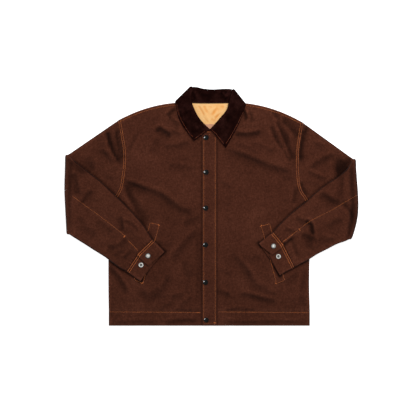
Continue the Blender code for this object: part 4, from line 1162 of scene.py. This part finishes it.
def back_top(x):
    """The upper outline of the back: shoulders, and the neck seam between them."""
    for side in SIDES:
        neck_x, neck_y = SHOULDER_NECK[side.name]
        tip_x, tip_y = side.armhole[-1]
        if side.out * x > side.out * neck_x:
            part = np.clip((x - tip_x) / (neck_x - tip_x), 0, 1)
            return tip_y + (neck_y - tip_y) * part + shoulder_bulge(side, part)
    return NECK_Y


def back_columns():
    """The back's columns as (part of the way across, angle of the rounding)."""
    width = LEFT.seam[0][0] - RIGHT.seam[0][0]
    tips = [side.armhole[-1][0] for side in SIDES]
    columns = [(turn(angle) / width, angle) for angle in TURN_ANGLES]
    columns += [((x - tips[0]) / (tips[1] - tips[0]), FLAT) for x in BACK_COLUMN_PLACES]
    return columns + [(1 - turn(angle) / width, angle) for angle in reversed(TURN_ANGLES)]


def back_row(ends, row, rise):
    tips = [np.array(side.armhole[-1], float) for side in SIDES]
    points = []
    for part, angle in back_columns():
        chord = tips[0] + (tips[1] - tips[0]) * part
        plan = ends[0] + (ends[1] - ends[0]) * part + (0, rise * (back_top(chord[0]) - chord[1]))
        flatness = row_flatness(row, angle, part in (0, 1))
        if SHOULDER_NECK["right"][0] < chord[0] < SHOULDER_NECK["left"][0]:
            flatness = 1.0
        points.append((*plan, HALF - edge_height(flatness)))
    return points


def back_rows():
    seams, holes = [Curve(side.seam) for side in SIDES], [ARMHOLES[side.name] for side in SIDES]
    rows = [back_row([seam.share(i / SIDE_ROWS) for seam in seams], SEAM_ROW, 0) for i in range(SIDE_ROWS)]
    for pair in zip(*(armhole_rows(hole.length) for hole in holes)):
        ends = [hole.at(row.reach) for hole, row in zip(holes, pair)]
        rows.append(back_row(ends, pair[0], rises_with_shoulder(pair[0], holes[0].length)))
    return rows


def back_band_rows():
    return [back_row([np.array((side.seam[0][0], y)) for side in SIDES], SEAM_ROW, 0)
            for y in np.linspace(HEM_BOTTOM, HEM_TOP - SEAM_GAP, 3)]


def add_back_piece(node, rows, worn):
    mesh, points = smooth_grid(node, rows, MEDIUM)
    add_sheet(node, mesh, points, outward=down, wear=near_lines(worn, points[:, 0], points[:, 1], BODY_WEAR))


def add_body():
    add_back_piece("back", back_rows(), [HEM_SEAM, *ARMHOLES.values()])
    add_back_piece("hem_band_back", back_band_rows(), [HEM_SEAM, HEM_EDGE])
    for side in SIDES:
        worn = [ARMHOLES[side.name], HEM_SEAM, outline(side.welt)]
        add_body_piece("front_" + side.name, side, front_rows(side), worn)
        x, low, high = side.seam[0][0], HEM_BOTTOM, HEM_TOP - SEAM_GAP
        rows = side_seam_rows(side, low, high, straight((x, low), (x, high)), 3)
        add_body_piece("hem_band_" + side.name, side, rows, [HEM_SEAM, HEM_EDGE])


# ---------------------------------------------------------------- sleeves and cuffs

Column = namedtuple("Column", "edge angle k layer nudge", defaults=(0,))
Section = namedtuple("Section", "curve seam")
LOW, TOP = "low", "top"
FOLD_FIRST_ROW = len(UPPER_ARM_SHARES)
FOLD_LAST_ROW = FOLD_FIRST_ROW + FOLD_STEPS


def sleeve_columns():
    """The columns round a sleeve, for its front piece and for its back piece."""
    front = [Column(LOW, angle, 0, 1) for angle in TURN_ANGLES]
    front += [Column(None, 0, k, 1) for k in range(1, SLEEVE_COLUMNS)]
    front += [Column(TOP, angle, 0, 1) for angle in reversed(TURN_ANGLES)]
    front += [Column(TOP, angle, 0, -1) for angle in TURN_ANGLES[1:]]
    front += [Column(None, 0, k, -1) for k in range(SLEEVE_COLUMNS - 1, SEAM_COLUMN, -1)]
    front += [Column(None, 0, SEAM_COLUMN, -1, SEAM_GAP / 2)]
    back = [Column(None, 0, SEAM_COLUMN, -1, -SEAM_GAP / 2)]
    back += [Column(None, 0, k, -1) for k in range(SEAM_COLUMN - 1, 0, -1)]
    back += [Column(LOW, angle, 0, -1) for angle in reversed(TURN_ANGLES)]
    return {"front": front, "back": back}


def section_point(section, column):
    """(plan point, height from the sleeve's middle plane) of a column on a section."""
    if column.edge is None:
        distance = column_distance(section.curve.length, section.seam, column.k) + column.nudge
        return section.curve.at(distance), column.layer * edge_height(1)
    flatness = math.sin(column.angle)
    if column.edge == LOW:
        return section.curve.at(turn(column.angle)), column.layer * edge_height(flatness)
    distance = section.curve.length - turn(column.angle)
    return section.curve.at(distance), column.layer * edge_height(flatness, 0)


def sleeve_point(side, plan, theta, height):
    """A point of the sleeve at this height from its middle plane, turned by theta round the elbow fold."""
    radius = FOLD_RADIUS - height
    return (plan[0] + side.out * radius * math.sin(theta), plan[1],
            HALF + FOLD_RADIUS - radius * math.cos(theta))


def sleeve_rows(side, columns):
    """From the armhole to the elbow, round the fold there and down the forearm to the cuff seam."""
    hole = straight(*(ARMHOLES[side.name].points + (side.out * ARMHOLE_GAP, 0)))
    inward = side.out * (FOLD_RADIUS + HALF)
    fold = Curve([(x - inward, y) for x, y in side.fold])
    start = Section(hole, hole.length * SEAM_COLUMN / SLEEVE_COLUMNS)
    stop = Section(fold, fold.length * FOLD_SEAM_SHARE)
    rows = []
    for share in UPPER_ARM_SHARES:
        row = []
        for column in columns:
            (first, height), (last, _) = section_point(start, column), section_point(stop, column)
            row.append(sleeve_point(side, first + (last - first) * share, 0, height))
        rows.append(row)
    turned = [(stop, math.pi * i / FOLD_STEPS) for i in range(FOLD_STEPS + 1)]
    for points in side.forearm:
        turned.append((Section(straight(*points), np.linalg.norm(np.subtract(points[1], points[0]))), math.pi))
    for section, theta in turned:
        rows.append([sleeve_point(side, plan, theta, height)
                     for plan, height in (section_point(section, column) for column in columns)])
    return rows


def arm_weave(side, mesh, points, rows):
    """The weave's coordinates, which turn with the arm at the elbow fold, for each corner of each face."""
    upper, lower = (turned_frame(points, angle - 90) for angle in ARM_ANGLES[side.name])
    owners = corner_owners(mesh)
    beyond = rows[owners].reshape(-1, 4).mean(axis=1).repeat(4) > (FOLD_FIRST_ROW + FOLD_LAST_ROW) / 2
    return np.where(beyond[:, None], lower[owners], upper[owners])


def cuff_seam(side):
    low, under, _, lap, top = side.cuff[0]
    return straight(low, under, lap, top)


def add_sleeve(side):
    armhole, seam = ARMHOLES[side.name], Curve([row[1] for row in side.forearm])

    def outward(centre):
        return Vector((0, 0, centre.z - HALF * MM)) if centre.z < 2 * HALF * MM else Vector()

    for piece, columns in sleeve_columns().items():
        node = f"sleeve_{side.name}_{piece}"
        mesh, points = smooth_grid(node, sleeve_rows(side, columns))
        x, y, z = points.T
        rows = grid_places(mesh)[:, 0]
        share = np.interp(rows, range(FOLD_FIRST_ROW + 1), [*UPPER_ARM_SHARES, 1])
        upper = np.where(z > HALF, raised_part(z, HALF), 0) * (rows <= FOLD_FIRST_ROW)
        lower = np.where(z > FOREARM_MIDDLE, raised_part(z, FOREARM_MIDDLE), 0)
        lower = lower * smooth_step((rows - FOLD_LAST_ROW) / FOREARM_START)
        points[:, 2] += body_height(x, y) * upper * (1 - smooth_step((share - ARM_FLAT_FROM) / ARM_FLAT_RAMP))
        points[:, 2] += forearm_height(x, y) * lower
        on_forearm = z > FOREARM_MIDDLE
        shade = np.where(z > HALF, drop_shade(BODY_DROPS, x, y), 0) * (rows <= FOLD_FIRST_ROW)
        shade += drop_shade(FOREARM_DROPS, x, y) * on_forearm * (rows > FOLD_LAST_ROW - 1.5)
        shade += CUFF_SEAM_SHADE * near_lines([cuff_seam(side)], x, y, CUFF_SEAM_REACH) * on_forearm
        shade += ARMHOLE_SHADE * near_lines([armhole], x, y, ARMHOLE_REACH)
        in_fold = (rows > FOLD_FIRST_ROW) & (rows < FOLD_LAST_ROW)
        wear = np.maximum(near_lines([armhole, seam], x, y, SLEEVE_WEAR), FOLD_WEAR * in_fold)
        add_sheet(node, mesh, points, outward=outward, weave=arm_weave(side, mesh, points, rows), wear=wear,
                  shade=shade)


def cuff_row(row):
    """One section round a cuff: from the end that laps over, round under the wrist, to the end beneath it."""
    low, under, middle, lap, top = np.array(row, float).reshape(5, 2)
    to_low = (low - top) / np.linalg.norm(low - top)
    top_flat, low_flat = top + to_low * EDGE_REACH, low - to_low * EDGE_REACH

    def flat(start, stop, layer, first, last, raised=0.0):
        points = []
        for k in range(first, last):
            part = k / CUFF_COLUMNS
            height = layer * HALF + raised * (1 - float(smooth_step(part)))
            points.append((*(start + (stop - start) * part), FOREARM_MIDDLE + height))
        return points

    def rounded(corner, inward, layer):
        points = []
        for angle in [-a for a in reversed(TURN_ANGLES)] + TURN_ANGLES[1:]:
            plan = corner + inward * EDGE_REACH * (1 - math.cos(angle))
            points.append((*plan, FOREARM_MIDDLE - layer * HALF * math.sin(angle)))
        return points

    return (flat(lap, top_flat, 1, 0, CUFF_COLUMNS, raised=LAP_LIFT) + rounded(top, to_low, 1)
            + flat(top_flat, middle, -1, 1, CUFF_COLUMNS) + flat(middle, low_flat, -1, 0, CUFF_COLUMNS)
            + rounded(low, -to_low, -1) + flat(low_flat, under, 1, 1, CUFF_COLUMNS + 1))


def cuff_seam_moved(side, gap):
    """The corners of a cuff's seam, moved towards the hem of the cuff."""
    seam, middle = (np.array(row, float) for row in side.cuff[:2])
    away = middle.mean(axis=0) - seam.mean(axis=0)
    return seam + away / np.linalg.norm(away) * gap


def add_cuff(side):
    rows = [cuff_seam_moved(side, ARMHOLE_GAP)] + side.cuff[1:]
    mesh, points = smooth_grid("cuff_" + side.name, [cuff_row(row) for row in rows])
    x, y, z = points.T
    raised = np.where(z > FOREARM_MIDDLE, raised_part(z, FOREARM_MIDDLE), 0)
    points[:, 2] += (pucker_height(FOREARM_PUCKERS, x, y) + ripple(x, y) * CUFF_RIPPLE) * raised
    worn = [Curve([row[i] for row in side.cuff]) for i in (1, 3)]
    worn += [straight(side.cuff[k][0], side.cuff[k][4]) for k in (0, 2)]

    def outward(centre):
        return Vector((0, 0, centre.z - FOREARM_MIDDLE * MM))

    columns = grid_places(mesh)[:, 1]
    beneath = columns > columns.max() - CUFF_COLUMNS - 1
    lap_edge = straight(*(row[3] for row in side.cuff))
    by_seam = [beside(cuff_seam(side), gap) for gap in (CUFF_STITCHES, -CUFF_STITCHES)]
    shade = CUFF_SHADE * near_lines([lap_edge], x, y, LAP_REACH) * beneath
    shade += CUFF_SHADE * near_lines(by_seam, x, y, CUFF_STITCH_REACH)
    add_sheet("cuff_" + side.name, mesh, points, outward=outward, shade=shade,
              weave=turned_frame(points, ARM_ANGLES[side.name][1] - 90), wear=near_lines(worn, x, y, CUFF_WEAR))


# ---------------------------------------------------------------- placket and pocket welts


def placket_top(y):
    wave = (1 - np.cos(2 * math.pi * (y - SNAP_CENTRES[0][1]) / WAVE_LENGTH)) / 2
    return LAID + LAP_LIFT + WAVE_HEIGHT * wave


def add_placket():
    across = np.linspace(PLACKET_LEFT, PLACKET_RIGHT, 4)
    rows = [[(x, y, placket_top(y)) for x in across] for y in np.linspace(HEM_BOTTOM, PLACKET_TOP, 40)]
    mesh, points = smooth_grid("placket", rows)
    x, y, _ = points.T
    lines = [straight((place, HEM_BOTTOM), (place, PLACKET_TOP))
             for place in (PLACKET_LEFT, PLACKET_RIGHT, *PLACKET_STITCHES)]
    puckers = [Pucker(line, 7, 19, 0.32) for line in lines[2:]]
    points[:, 2] += SEAM_GAP + PLACKET_PUCKER * pucker_height(puckers, x, y)
    add_sheet("placket", mesh, points, wear=near_lines(lines, x, y, PLACKET_WEAR))


def add_welt(side):
    low_out, low_in, high_in, high_out = (np.array(corner, float) for corner in side.welt)
    rows = []
    for part in np.linspace(0, 1, 13):
        start, stop = low_out + (high_out - low_out) * part, low_in + (high_in - low_in) * part
        rows.append([(*(start + (stop - start) * k), WELT_TOP) for k in (0, 0.5, 1)])
    node = "pocket_welt_" + side.name
    mesh, points = smooth_grid(node, rows)
    x, y, _ = points.T
    points[:, 2] += body_height(x, y)
    run = high_in - low_in
    weave = turned_frame(points, math.degrees(math.atan2(run[1], run[0])) - 90)
    add_sheet(node, mesh, points, weave=weave, wear=near_lines([outline(side.welt)], x, y, WELT_WEAR),
              shade=drop_shade(BODY_DROPS, x, y), thickness=WELT_CLOTH)


# ---------------------------------------------------------------- collar


def leaf_columns(edge, roll):
    length = np.linalg.norm(roll - edge)
    flat = length - ROLL_REACH
    places = [(flat * k / LEAF_COLUMNS, FLAT) for k in range(LEAF_COLUMNS)]
    places += [(flat + ROLL_REACH * math.cos(angle), angle) for angle in reversed(TURN_ANGLES)]
    return [(edge + (roll - edge) * place / length, place / length, angle) for place, angle in places]


def leaf_row(edge, roll):
    """A row of a front leaf, from its free edge to the roll round the opening."""
    points = []
    for plan, part, angle in leaf_columns(edge, roll):
        arch = LEAF_ARCH * math.sin(math.pi / 2 * min(1.0, part))
        drop = ROLL_DROP * (1 - math.sin(angle))
        near_placket = float(smooth_step((LEAF_LIFT_END - abs(plan[0])) / LEAF_LIFT_RAMP))
        points.append((*plan, LAID + LEAF_LIFT * near_placket + SEAM_GAP + LEAF_CLOTH + arch - drop))
    return np.array(points)


def leaf_row_behind(edge, roll):
    return np.array([(*plan, ROLL_BACK_RISE * (1 - math.sin(angle)))
                     for plan, _, angle in leaf_columns(edge, roll)])


def leaf_fold(over, under, outward):
    """Rows that turn the leaf from over the shoulder to behind the neck."""
    rows = []
    for i in range(1, LEAF_FOLD_ROWS):
        theta = math.pi * i / LEAF_FOLD_ROWS
        half = (over - under) / 2
        bulge = np.abs(half[:, 2:]) * np.append(outward, 0) * math.sin(theta)
        rows.append((over + under) / 2 + half * math.cos(theta) + bulge)
    return rows


def leaf_rows():
    """Up the right front, round behind the neck and down the left front."""
    fronts, outwards = [], []
    for out, edge, roll in ((-1, EDGE_RIGHT, ROLL_RIGHT), (1, EDGE_LEFT, ROLL_LEFT)):
        edge, roll = Curve(edge), Curve(roll)
        run = roll.share(1) - edge.share(1)
        normal = np.array((-run[1], run[0])) / np.linalg.norm(run)
        outward = normal * out * np.sign(normal[0])
        rows = []
        for part in np.linspace(0, 1, LEAF_ROWS + 1):
            drawn = smooth_step((part - LEAF_INSET_START) / (1 - LEAF_INSET_START))
            inset = outward * LEAF_FOLD_HALF * drawn
            rows.append(leaf_row(edge.share(part) - inset, roll.share(part) - inset))
        fronts.append(rows)
        outwards.append(outward)
    edge, roll = Curve(EDGE_BACK), Curve(ROLL_BACK)
    insets = {0.0: outwards[0] * LEAF_FOLD_HALF, 1.0: outwards[1] * LEAF_FOLD_HALF}
    behind = [leaf_row_behind(edge.share(part), roll.share(part) - insets.get(float(part), 0))
              for part in np.linspace(0, 1, LEAF_BACK_ROWS + 1)]
    rows = fronts[0] + leaf_fold(fronts[0][-1], behind[0], outwards[0]) + behind
    return rows + leaf_fold(fronts[1][-1], behind[-1], outwards[1])[::-1] + fronts[1][::-1]


def add_collar_leaf():
    mesh, points = smooth_grid("collar_leaf", leaf_rows())
    x, y, z = points.T
    resting = smooth_step((z - LEAF_FREE) / LEAF_FREE_RAMP) * smooth_step((LEAF_END - y) / LEAF_END_RAMP)
    shade = drop_shade(COLLAR_DROPS, x, y) * resting
    points[:, 2] += (body_height(x, y) + drop_height(COLLAR_DROPS, x, y)) * resting

    def outward(centre):
        return Vector((0, 0, 1)) if centre.y < 0.29 else Vector()

    wear = near_lines([Curve(EDGE_RIGHT), Curve(EDGE_LEFT)], x, y, COLLAR_WEAR)
    add_sheet("collar_leaf", mesh, points, "corduroy", outward, grid_places(mesh) * LEAF_SPACING, wear, shade,
              LEAF_CLOTH)


def add_collar_stand():
    low, high = Curve(STAND_BOTTOM), Curve(STAND_TOP)
    rows = []
    for part in np.linspace(0, 1, STAND_COLUMNS):
        sides = float(smooth_step((abs(part - 0.5) - STAND_SIDE_START) / STAND_SIDE_RAMP))
        start, stop = low.share(part), high.share(part)
        row = []
        for up_part in STAND_ROWS:
            height = STAND_LOW + (STAND_HIGH - STAND_LOW) * up_part
            height += STAND_CROWN * math.sin(math.pi * up_part) * (1 - sides)
            row.append((*(start + (stop - start) * up_part), height))
        rows.append(row)
    mesh, points = smooth_grid("collar_stand", rows)
    x, y, _ = points.T
    shade = STAND_SHADE * drop_shade(COLLAR_DROPS, x, y)
    inside = smooth_step((y - STAND_FROM) / STAND_RAMP) * smooth_step((STAND_TO - y) / STAND_RAMP)
    points[:, 2] += drop_height(COLLAR_DROPS, x, y) * inside
    add_sheet("collar_stand", mesh, points, "corduroy", weave=grid_places(mesh) * STAND_SPACING, shade=shade,
              thickness=STAND_CLOTH)


def add_collar_front_end():
    rows = [[(x, y, LAID + LAP_LIFT) for x, y in row] for row in FRONT_END_CORNERS]
    add_sheet("collar_front_end", *smooth_grid("collar_front_end", rows), "corduroy")


# ---------------------------------------------------------------- lining and label


def flat_grid(corners, columns, rows, height):
    x0, y0, x1, y1 = corners
    return [[(x, y, height) for x in np.linspace(x0, x1, columns)] for y in np.linspace(y0, y1, rows)]


def add_lining():
    mesh, points = smooth_grid("lining_neck", flat_grid(LINING_CORNERS, *LINING_GRID, LINING_TOP))
    x, y, _ = points.T
    in_neck = smooth_step(((y - NECK_POINT) * NECK_SLOPE - np.abs(x)) / NECK_SIDE_RAMP)
    in_neck = in_neck * smooth_step((NECK_BACK - y) / NECK_BACK_RAMP)
    shade = drop_shade(LINING_DROPS, x, y) * in_neck
    points[:, 2] += (fold_height(LINING_FOLDS, x, y) + LINING_STEEP * drop_height(LINING_DROPS, x, y)) * in_neck
    add_sheet("lining_neck", mesh, points, "satin", shade=shade, thickness=LINING_CLOTH, bevel=0)


def add_label():
    rows = flat_grid(LABEL_CORNERS, 5, 4, LABEL_TOP)
    add_sheet("label_blank", *smooth_grid("label_blank", rows), "label_cloth", thickness=LABEL_THICK, bevel=0)


# ---------------------------------------------------------------- stitches

seeded = np.random.default_rng(4)


def surface_point(nodes, x, y, side):
    """The first point of these pieces' faces that is met from above (side 1) or from below (side -1)."""
    start = Vector((x * MM, y * MM, side * 0.1))
    found = None
    for node in nodes:
        place, normal, _, far = SURFACES[node].ray_cast(start, Vector((0, 0, -side)))
        if place and (found is None or far < found[2]):
            found = place, normal * (1 if normal.z * side > 0 else -1), far
    return found


class Stitches:
    """The stitches of one group of seams. They are made a few at a time, because that is much faster."""

    BATCH = 24

    def __init__(self, name, width):
        self.name, self.width, self.count = "thread_" + name, width, 0
        self.few, self.whole = bmesh.new(), bmesh.new()

    def join(self):
        mesh = bpy.data.meshes.new("few")
        self.few.to_mesh(mesh)
        self.whole.from_mesh(mesh)
        bpy.data.meshes.remove(mesh)
        self.few.clear()

    def add(self, nodes, x, y, run, side=1, length=STITCH_LENGTH, width=None):
        """One stitch: a small ellipsoid, half sunk in the cloth."""
        found = surface_point(nodes, x, y, side)
        if found is None:
            return
        place, up_axis, _ = found
        along = Vector((*run, 0))
        along = (along - up_axis * along.dot(up_axis)).normalized()
        size = (length / 2, (width or self.width) / 2, STITCH_HEIGHT / 2)
        axes = [axis * s * MM for axis, s in zip((along, up_axis.cross(along), up_axis), size)]
        matrix = Matrix([(*row, 0) for row in axes] + [(0, 0, 0, 1)]).transposed()
        matrix.translation = place + up_axis * STITCH_RAISED * MM
        bmesh.ops.create_uvsphere(self.few, u_segments=6, v_segments=4, radius=1, matrix=matrix)
        self.count += 1
        if self.count % self.BATCH == 0:
            self.join()

    def line(self, nodes, curve, side=1):
        """A run of stitches along a curve, a little uneven as a sewn one is."""
        points = curve.even(STITCH_PITCH)
        for (x, y), (run_x, run_y) in zip(points[1:-1], directions(points)[1:-1]):
            aside, turned = seeded.normal(0, STITCH_ASIDE), seeded.normal(0, STITCH_TURNED)
            length = STITCH_LENGTH * (1 + seeded.normal(0, STITCH_UNEVEN))
            run = (run_x - turned * run_y, run_y + turned * run_x)
            self.add(nodes, x - run_y * aside, y + run_x * aside, run, side, length)

    def tack(self, nodes, start, stop, width):
        """A bartack: short stitches packed side by side from start to stop."""
        start, stop = np.array(start, float), np.array(stop, float)
        length = np.linalg.norm(stop - start)
        run = (stop - start) / length
        for far in np.arange(0, length, TACK_PITCH):
            self.add(nodes, *(start + run * far), (-run[1], run[0]), 1, width, TACK_WIDTH)

    def finish(self, material):
        self.join()
        self.few.free()
        bmesh.ops.recalc_face_normals(self.whole, faces=self.whole.faces)
        mesh = made_mesh(self.name, self.whole)
        mesh.shade_smooth()
        mesh.materials.append(material)
        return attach(add_object(self.name, mesh), "root")


def sew(name, runs, tacks=(), width=STITCH_WIDTH, material=ORANGE_THREAD):
    """All stitches of one group. A run is (nodes, curve), with -1 after it for one on the underside, and a
    tack is (nodes, start, stop, width)."""
    stitches = Stitches(name, width)
    for run in runs:
        stitches.line(*run)
    for tack in tacks:
        stitches.tack(*tack)
    stitches.finish(material)


def inset_outline(corners, inset):
    """The sides of an outline that runs anticlockwise, moved inwards, as separate lines."""
    corners = [np.array(c, float) for c in corners]
    moved = []
    for before, here, after in zip([corners[-1], *corners], corners, [*corners[1:], corners[0]]):
        a, b = (before - here) / np.linalg.norm(before - here), (after - here) / np.linalg.norm(after - here)
        moved.append(here + (a + b) * inset / abs(a[0] * b[1] - a[1] * b[0]))
    return [straight(p, q) for p, q in zip(moved, [*moved[1:], moved[0]])]


def shoulder_curve(side, below):
    """The shoulder seam, from the tip to the neck, moved down by this much."""
    tip, neck = np.array(side.armhole[-1], float), np.array(SHOULDER_NECK[side.name], float)
    points = []
    for part in np.linspace(*SHOULDER_STITCHED, 14):
        x, y = tip + (neck - tip) * part
        points.append((x, y + shoulder_bulge(side, part) - below))
    return Curve(points)


def cuff_lines(side, gap):
    """The two lines of a cuff's top half beside its seam: on the lapping part and on the part beneath."""
    low, under, _, lap, top = cuff_seam_moved(side, gap)
    return straight(lap + (top - lap) * 0.02, top - (top - lap) * 0.03), straight(low, under)


def sew_all():
    pairs = [(side, side.name) for side in SIDES]
    sew("armholes", [(["front_" + name], beside(ARMHOLES[name], side.out * gap))
                     for side, name in pairs for gap in ARMHOLE_STITCH_GAPS], width=1.05)
    sew("shoulders", [(["front_" + name], shoulder_curve(side, gap))
                      for side, name in pairs for gap in SHOULDER_STITCH_GAPS])
    on = ["placket"]
    sew("placket", [(on, straight(*ends)) for ends in PLACKET_RUNS], [(on, *tack) for tack in PLACKET_TACKS])
    sew("hem", [(["hem_band_" + name], straight(*HEM_RUNS[name])) for _, name in pairs],
        [(["hem_band_right"], *HEM_TACK)], 0.95)
    sew("cuffs", [(["cuff_" + name], curve) for side, name in pairs for gap in CUFF_STITCH_GAPS
                  for curve in cuff_lines(side, gap)], width=1.6)
    runs, tacks = [], []
    for side, name in pairs:
        on = ["pocket_welt_" + name]
        runs += [(on, curve) for curve in inset_outline(side.welt, WELT_STITCH_GAP)]
        tacks += [([*on, "front_" + name], *ends, 3.0) for ends in POCKET_TACKS[name]]
    sew("pockets", runs, tacks, 1.1)
    sleeves = [([f"sleeve_{name}_front", f"sleeve_{name}_back"], side, name) for side, name in pairs]
    sew("sleeves", [(on, beside(Curve(SLEEVE_SEAMS[name]), -side.out * SLEEVE_STITCH_GAP))
                    for on, side, name in sleeves])
    sew("vents", [(on, Curve(SLEEVE_VENTS[name])) for on, _, name in sleeves],
        [(on, *SEAM_TACKS[name], 3.8) for on, _, name in sleeves], 1.2)
    sew("collar", [(["collar_leaf"], Curve(points)) for _, name in pairs for points in COLLAR_STITCHES[name]],
        width=0.75, material=RUSTY_THREAD)
    runs = [(["back"], beside(ARMHOLES[name], side.out * gap), -1)
            for side, name in pairs for gap in BACK_STITCH_GAPS]
    sew("back", runs + [(["hem_band_back"], straight(*BACK_HEM_RUN), -1)])


# ---------------------------------------------------------------- snaps and the tape at the neck


def turned_mesh(name, profile, height, centre):
    """A profile of (radius, height) shares turned round an upright axis and closed below.

    An attribute is 1 at the bottom of a bowl and round the rim, where a dark reflection is painted into the
    colour."""
    shape = bmesh.new()
    x, y, z = centre
    verts = [shape.verts.new(((x + r * SNAP_RADIUS) * MM, y * MM, (z + h * height) * MM))
             for r, h in [(0, 0), *profile]]
    edges = [shape.edges.new(pair) for pair in zip(verts, verts[1:])]
    bmesh.ops.spin(shape, geom=verts + edges, cent=Vector((x, y, z)) * MM, axis=(0, 0, 1), dvec=(0, 0, 0),
                   angle=2 * math.pi, steps=TURNED_STEPS, use_merge=True)
    bmesh.ops.remove_doubles(shape, verts=shape.verts, dist=0.005 * MM)
    bmesh.ops.recalc_face_normals(shape, faces=shape.faces)
    mesh = made_mesh(name, shape)
    mesh.shade_smooth()
    across = points_of(mesh) / MM - centre
    share = np.hypot(across[:, 0], across[:, 1]) / SNAP_RADIUS
    bowl = profile is SOCKET_PROFILE
    rim = SOCKET_RIM if bowl else CAP_RIM
    write_values(mesh, "recess", (share < PAINTED_DARK_BOWL_SHARE) * bowl + (share > rim))
    return mesh


def add_turned(node, profile, height, centre, slot):
    mesh = turned_mesh(node + "_turned", profile, height, centre)
    mesh.materials.append(FINISHES[slot])
    piece = add_object(node + "_turned", mesh)
    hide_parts(node)
    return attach(piece, "root")


def add_snaps():
    """The black caps of the front, then the nickel caps and sockets of the cuffs."""
    black = [add_turned(f"snap_{n}", CAP_PROFILE, SNAP_HEIGHT, (x, y, placket_top(y) + SEAM_GAP), "black_metal")
             for n, (x, y) in enumerate(SNAP_CENTRES, 1)]
    bright, low = [], FOREARM_MIDDLE + HALF + SEAM_GAP
    for side in SIDES:
        for kind, profile, height, places, lift in (("socket", SOCKET_PROFILE, SOCKET_HEIGHT, CUFF_SOCKETS, 0),
                                                    ("cap", CAP_PROFILE, SNAP_HEIGHT, CUFF_CAPS, LAP_LIFT)):
            centre = (*places[side.name], low + lift)
            bright.append(add_turned(f"cuff_{kind}_{side.name}", profile, height, centre, "steel"))
    return black, bright


def add_neck_tape():
    """A thin dark tape, rounded on top, over the back seam of the neck."""
    rows = []
    for x, y in Curve(TAPE_LINE).even(4.0):
        rows.append([(x, y + TAPE_HALF * math.cos(a), TAPE_MIDDLE + math.sin(a))
                     for a in np.linspace(0, 2 * math.pi, 13)])
    mesh = grid_mesh("neck_tape", rows)
    mesh.uv_layers.remove(mesh.uv_layers["grid"])
    shape = bmesh.new()
    shape.from_mesh(mesh)
    bmesh.ops.scale(shape, verts=shape.verts, vec=(MM, MM, MM))
    bmesh.ops.remove_doubles(shape, verts=shape.verts, dist=0.001 * MM)
    bmesh.ops.holes_fill(shape, edges=[e for e in shape.edges if e.is_boundary], sides=20)
    bmesh.ops.recalc_face_normals(shape, faces=shape.faces)
    shape.to_mesh(mesh)
    shape.free()
    mesh.shade_smooth()
    mesh.materials.append(TAPE)
    piece = add_object("neck_tape", mesh)
    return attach(piece, "root")


# ---------------------------------------------------------------- the floor and the light


def add_stage():
    shape = bmesh.new()
    bmesh.ops.create_grid(shape, x_segments=4, y_segments=4, size=FLOOR_HALF)
    bmesh.ops.translate(shape, verts=shape.verts, vec=(0, 0, -FLOOR_BELOW))
    mesh = made_mesh("floor", shape)
    mesh.materials.append(floor_finish())
    add_object("floor", mesh)


def add_area_light(name, place, target, size, power, mirrored=True, only=()):
    """A soft round light. An unmirrored one doesn't show in the glossy caps; with "only", it lights these
    alone."""
    data = bpy.data.lights.new(name, "AREA")
    data.shape, data.size, data.energy = "DISK", size, power
    light = add_object(name, data)
    light.location = place
    light.rotation_euler = (Vector(target) - Vector(place)).to_track_quat("-Z", "Y").to_euler()
    light.visible_camera, light.visible_glossy = False, mirrored
    if only:
        lit = bpy.data.collections.new(name + "_lit")
        for piece in only:
            lit.objects.link(piece)
        light.light_linking.receiver_collection = lit


def add_light(black_caps, bright_caps):
    world = bpy.data.worlds.new("studio")
    world.use_nodes = True
    sky = world.node_tree.nodes["Background"].inputs
    sky["Color"].default_value, sky["Strength"].default_value = grey(1.0), STUDIO_LIGHT
    scene = bpy.context.scene
    scene.world = world
    add_area_light("key", (0.56, 1.1, 1.9), (0, 0.03, 0), 1.3, 36, mirrored=False)
    add_area_light("side", (-2.4, 0.5, 0.7), (0, 0, 0), 0.65, 12, mirrored=False)
    add_area_light("cap_glint", (-1.05, 0.35, 0.95), (0, 0, 0), 0.8, 105, only=black_caps)
    add_area_light("cap_overhead", (0, 0, 2.4), (0, 0, 0), 1.6, 9.5, only=bright_caps)
    scene.view_settings.view_transform, scene.view_settings.look = "Standard", "None"


# ---------------------------------------------------------------- all of it

add_body()
add_placket()
for side in SIDES:
    add_welt(side)
    add_sleeve(side)
    add_cuff(side)
add_collar_leaf()
add_collar_stand()
add_collar_front_end()
add_lining()
add_label()
sew_all()
caps = add_snaps()
tape = add_neck_tape()
add_stage()
add_light(*caps)
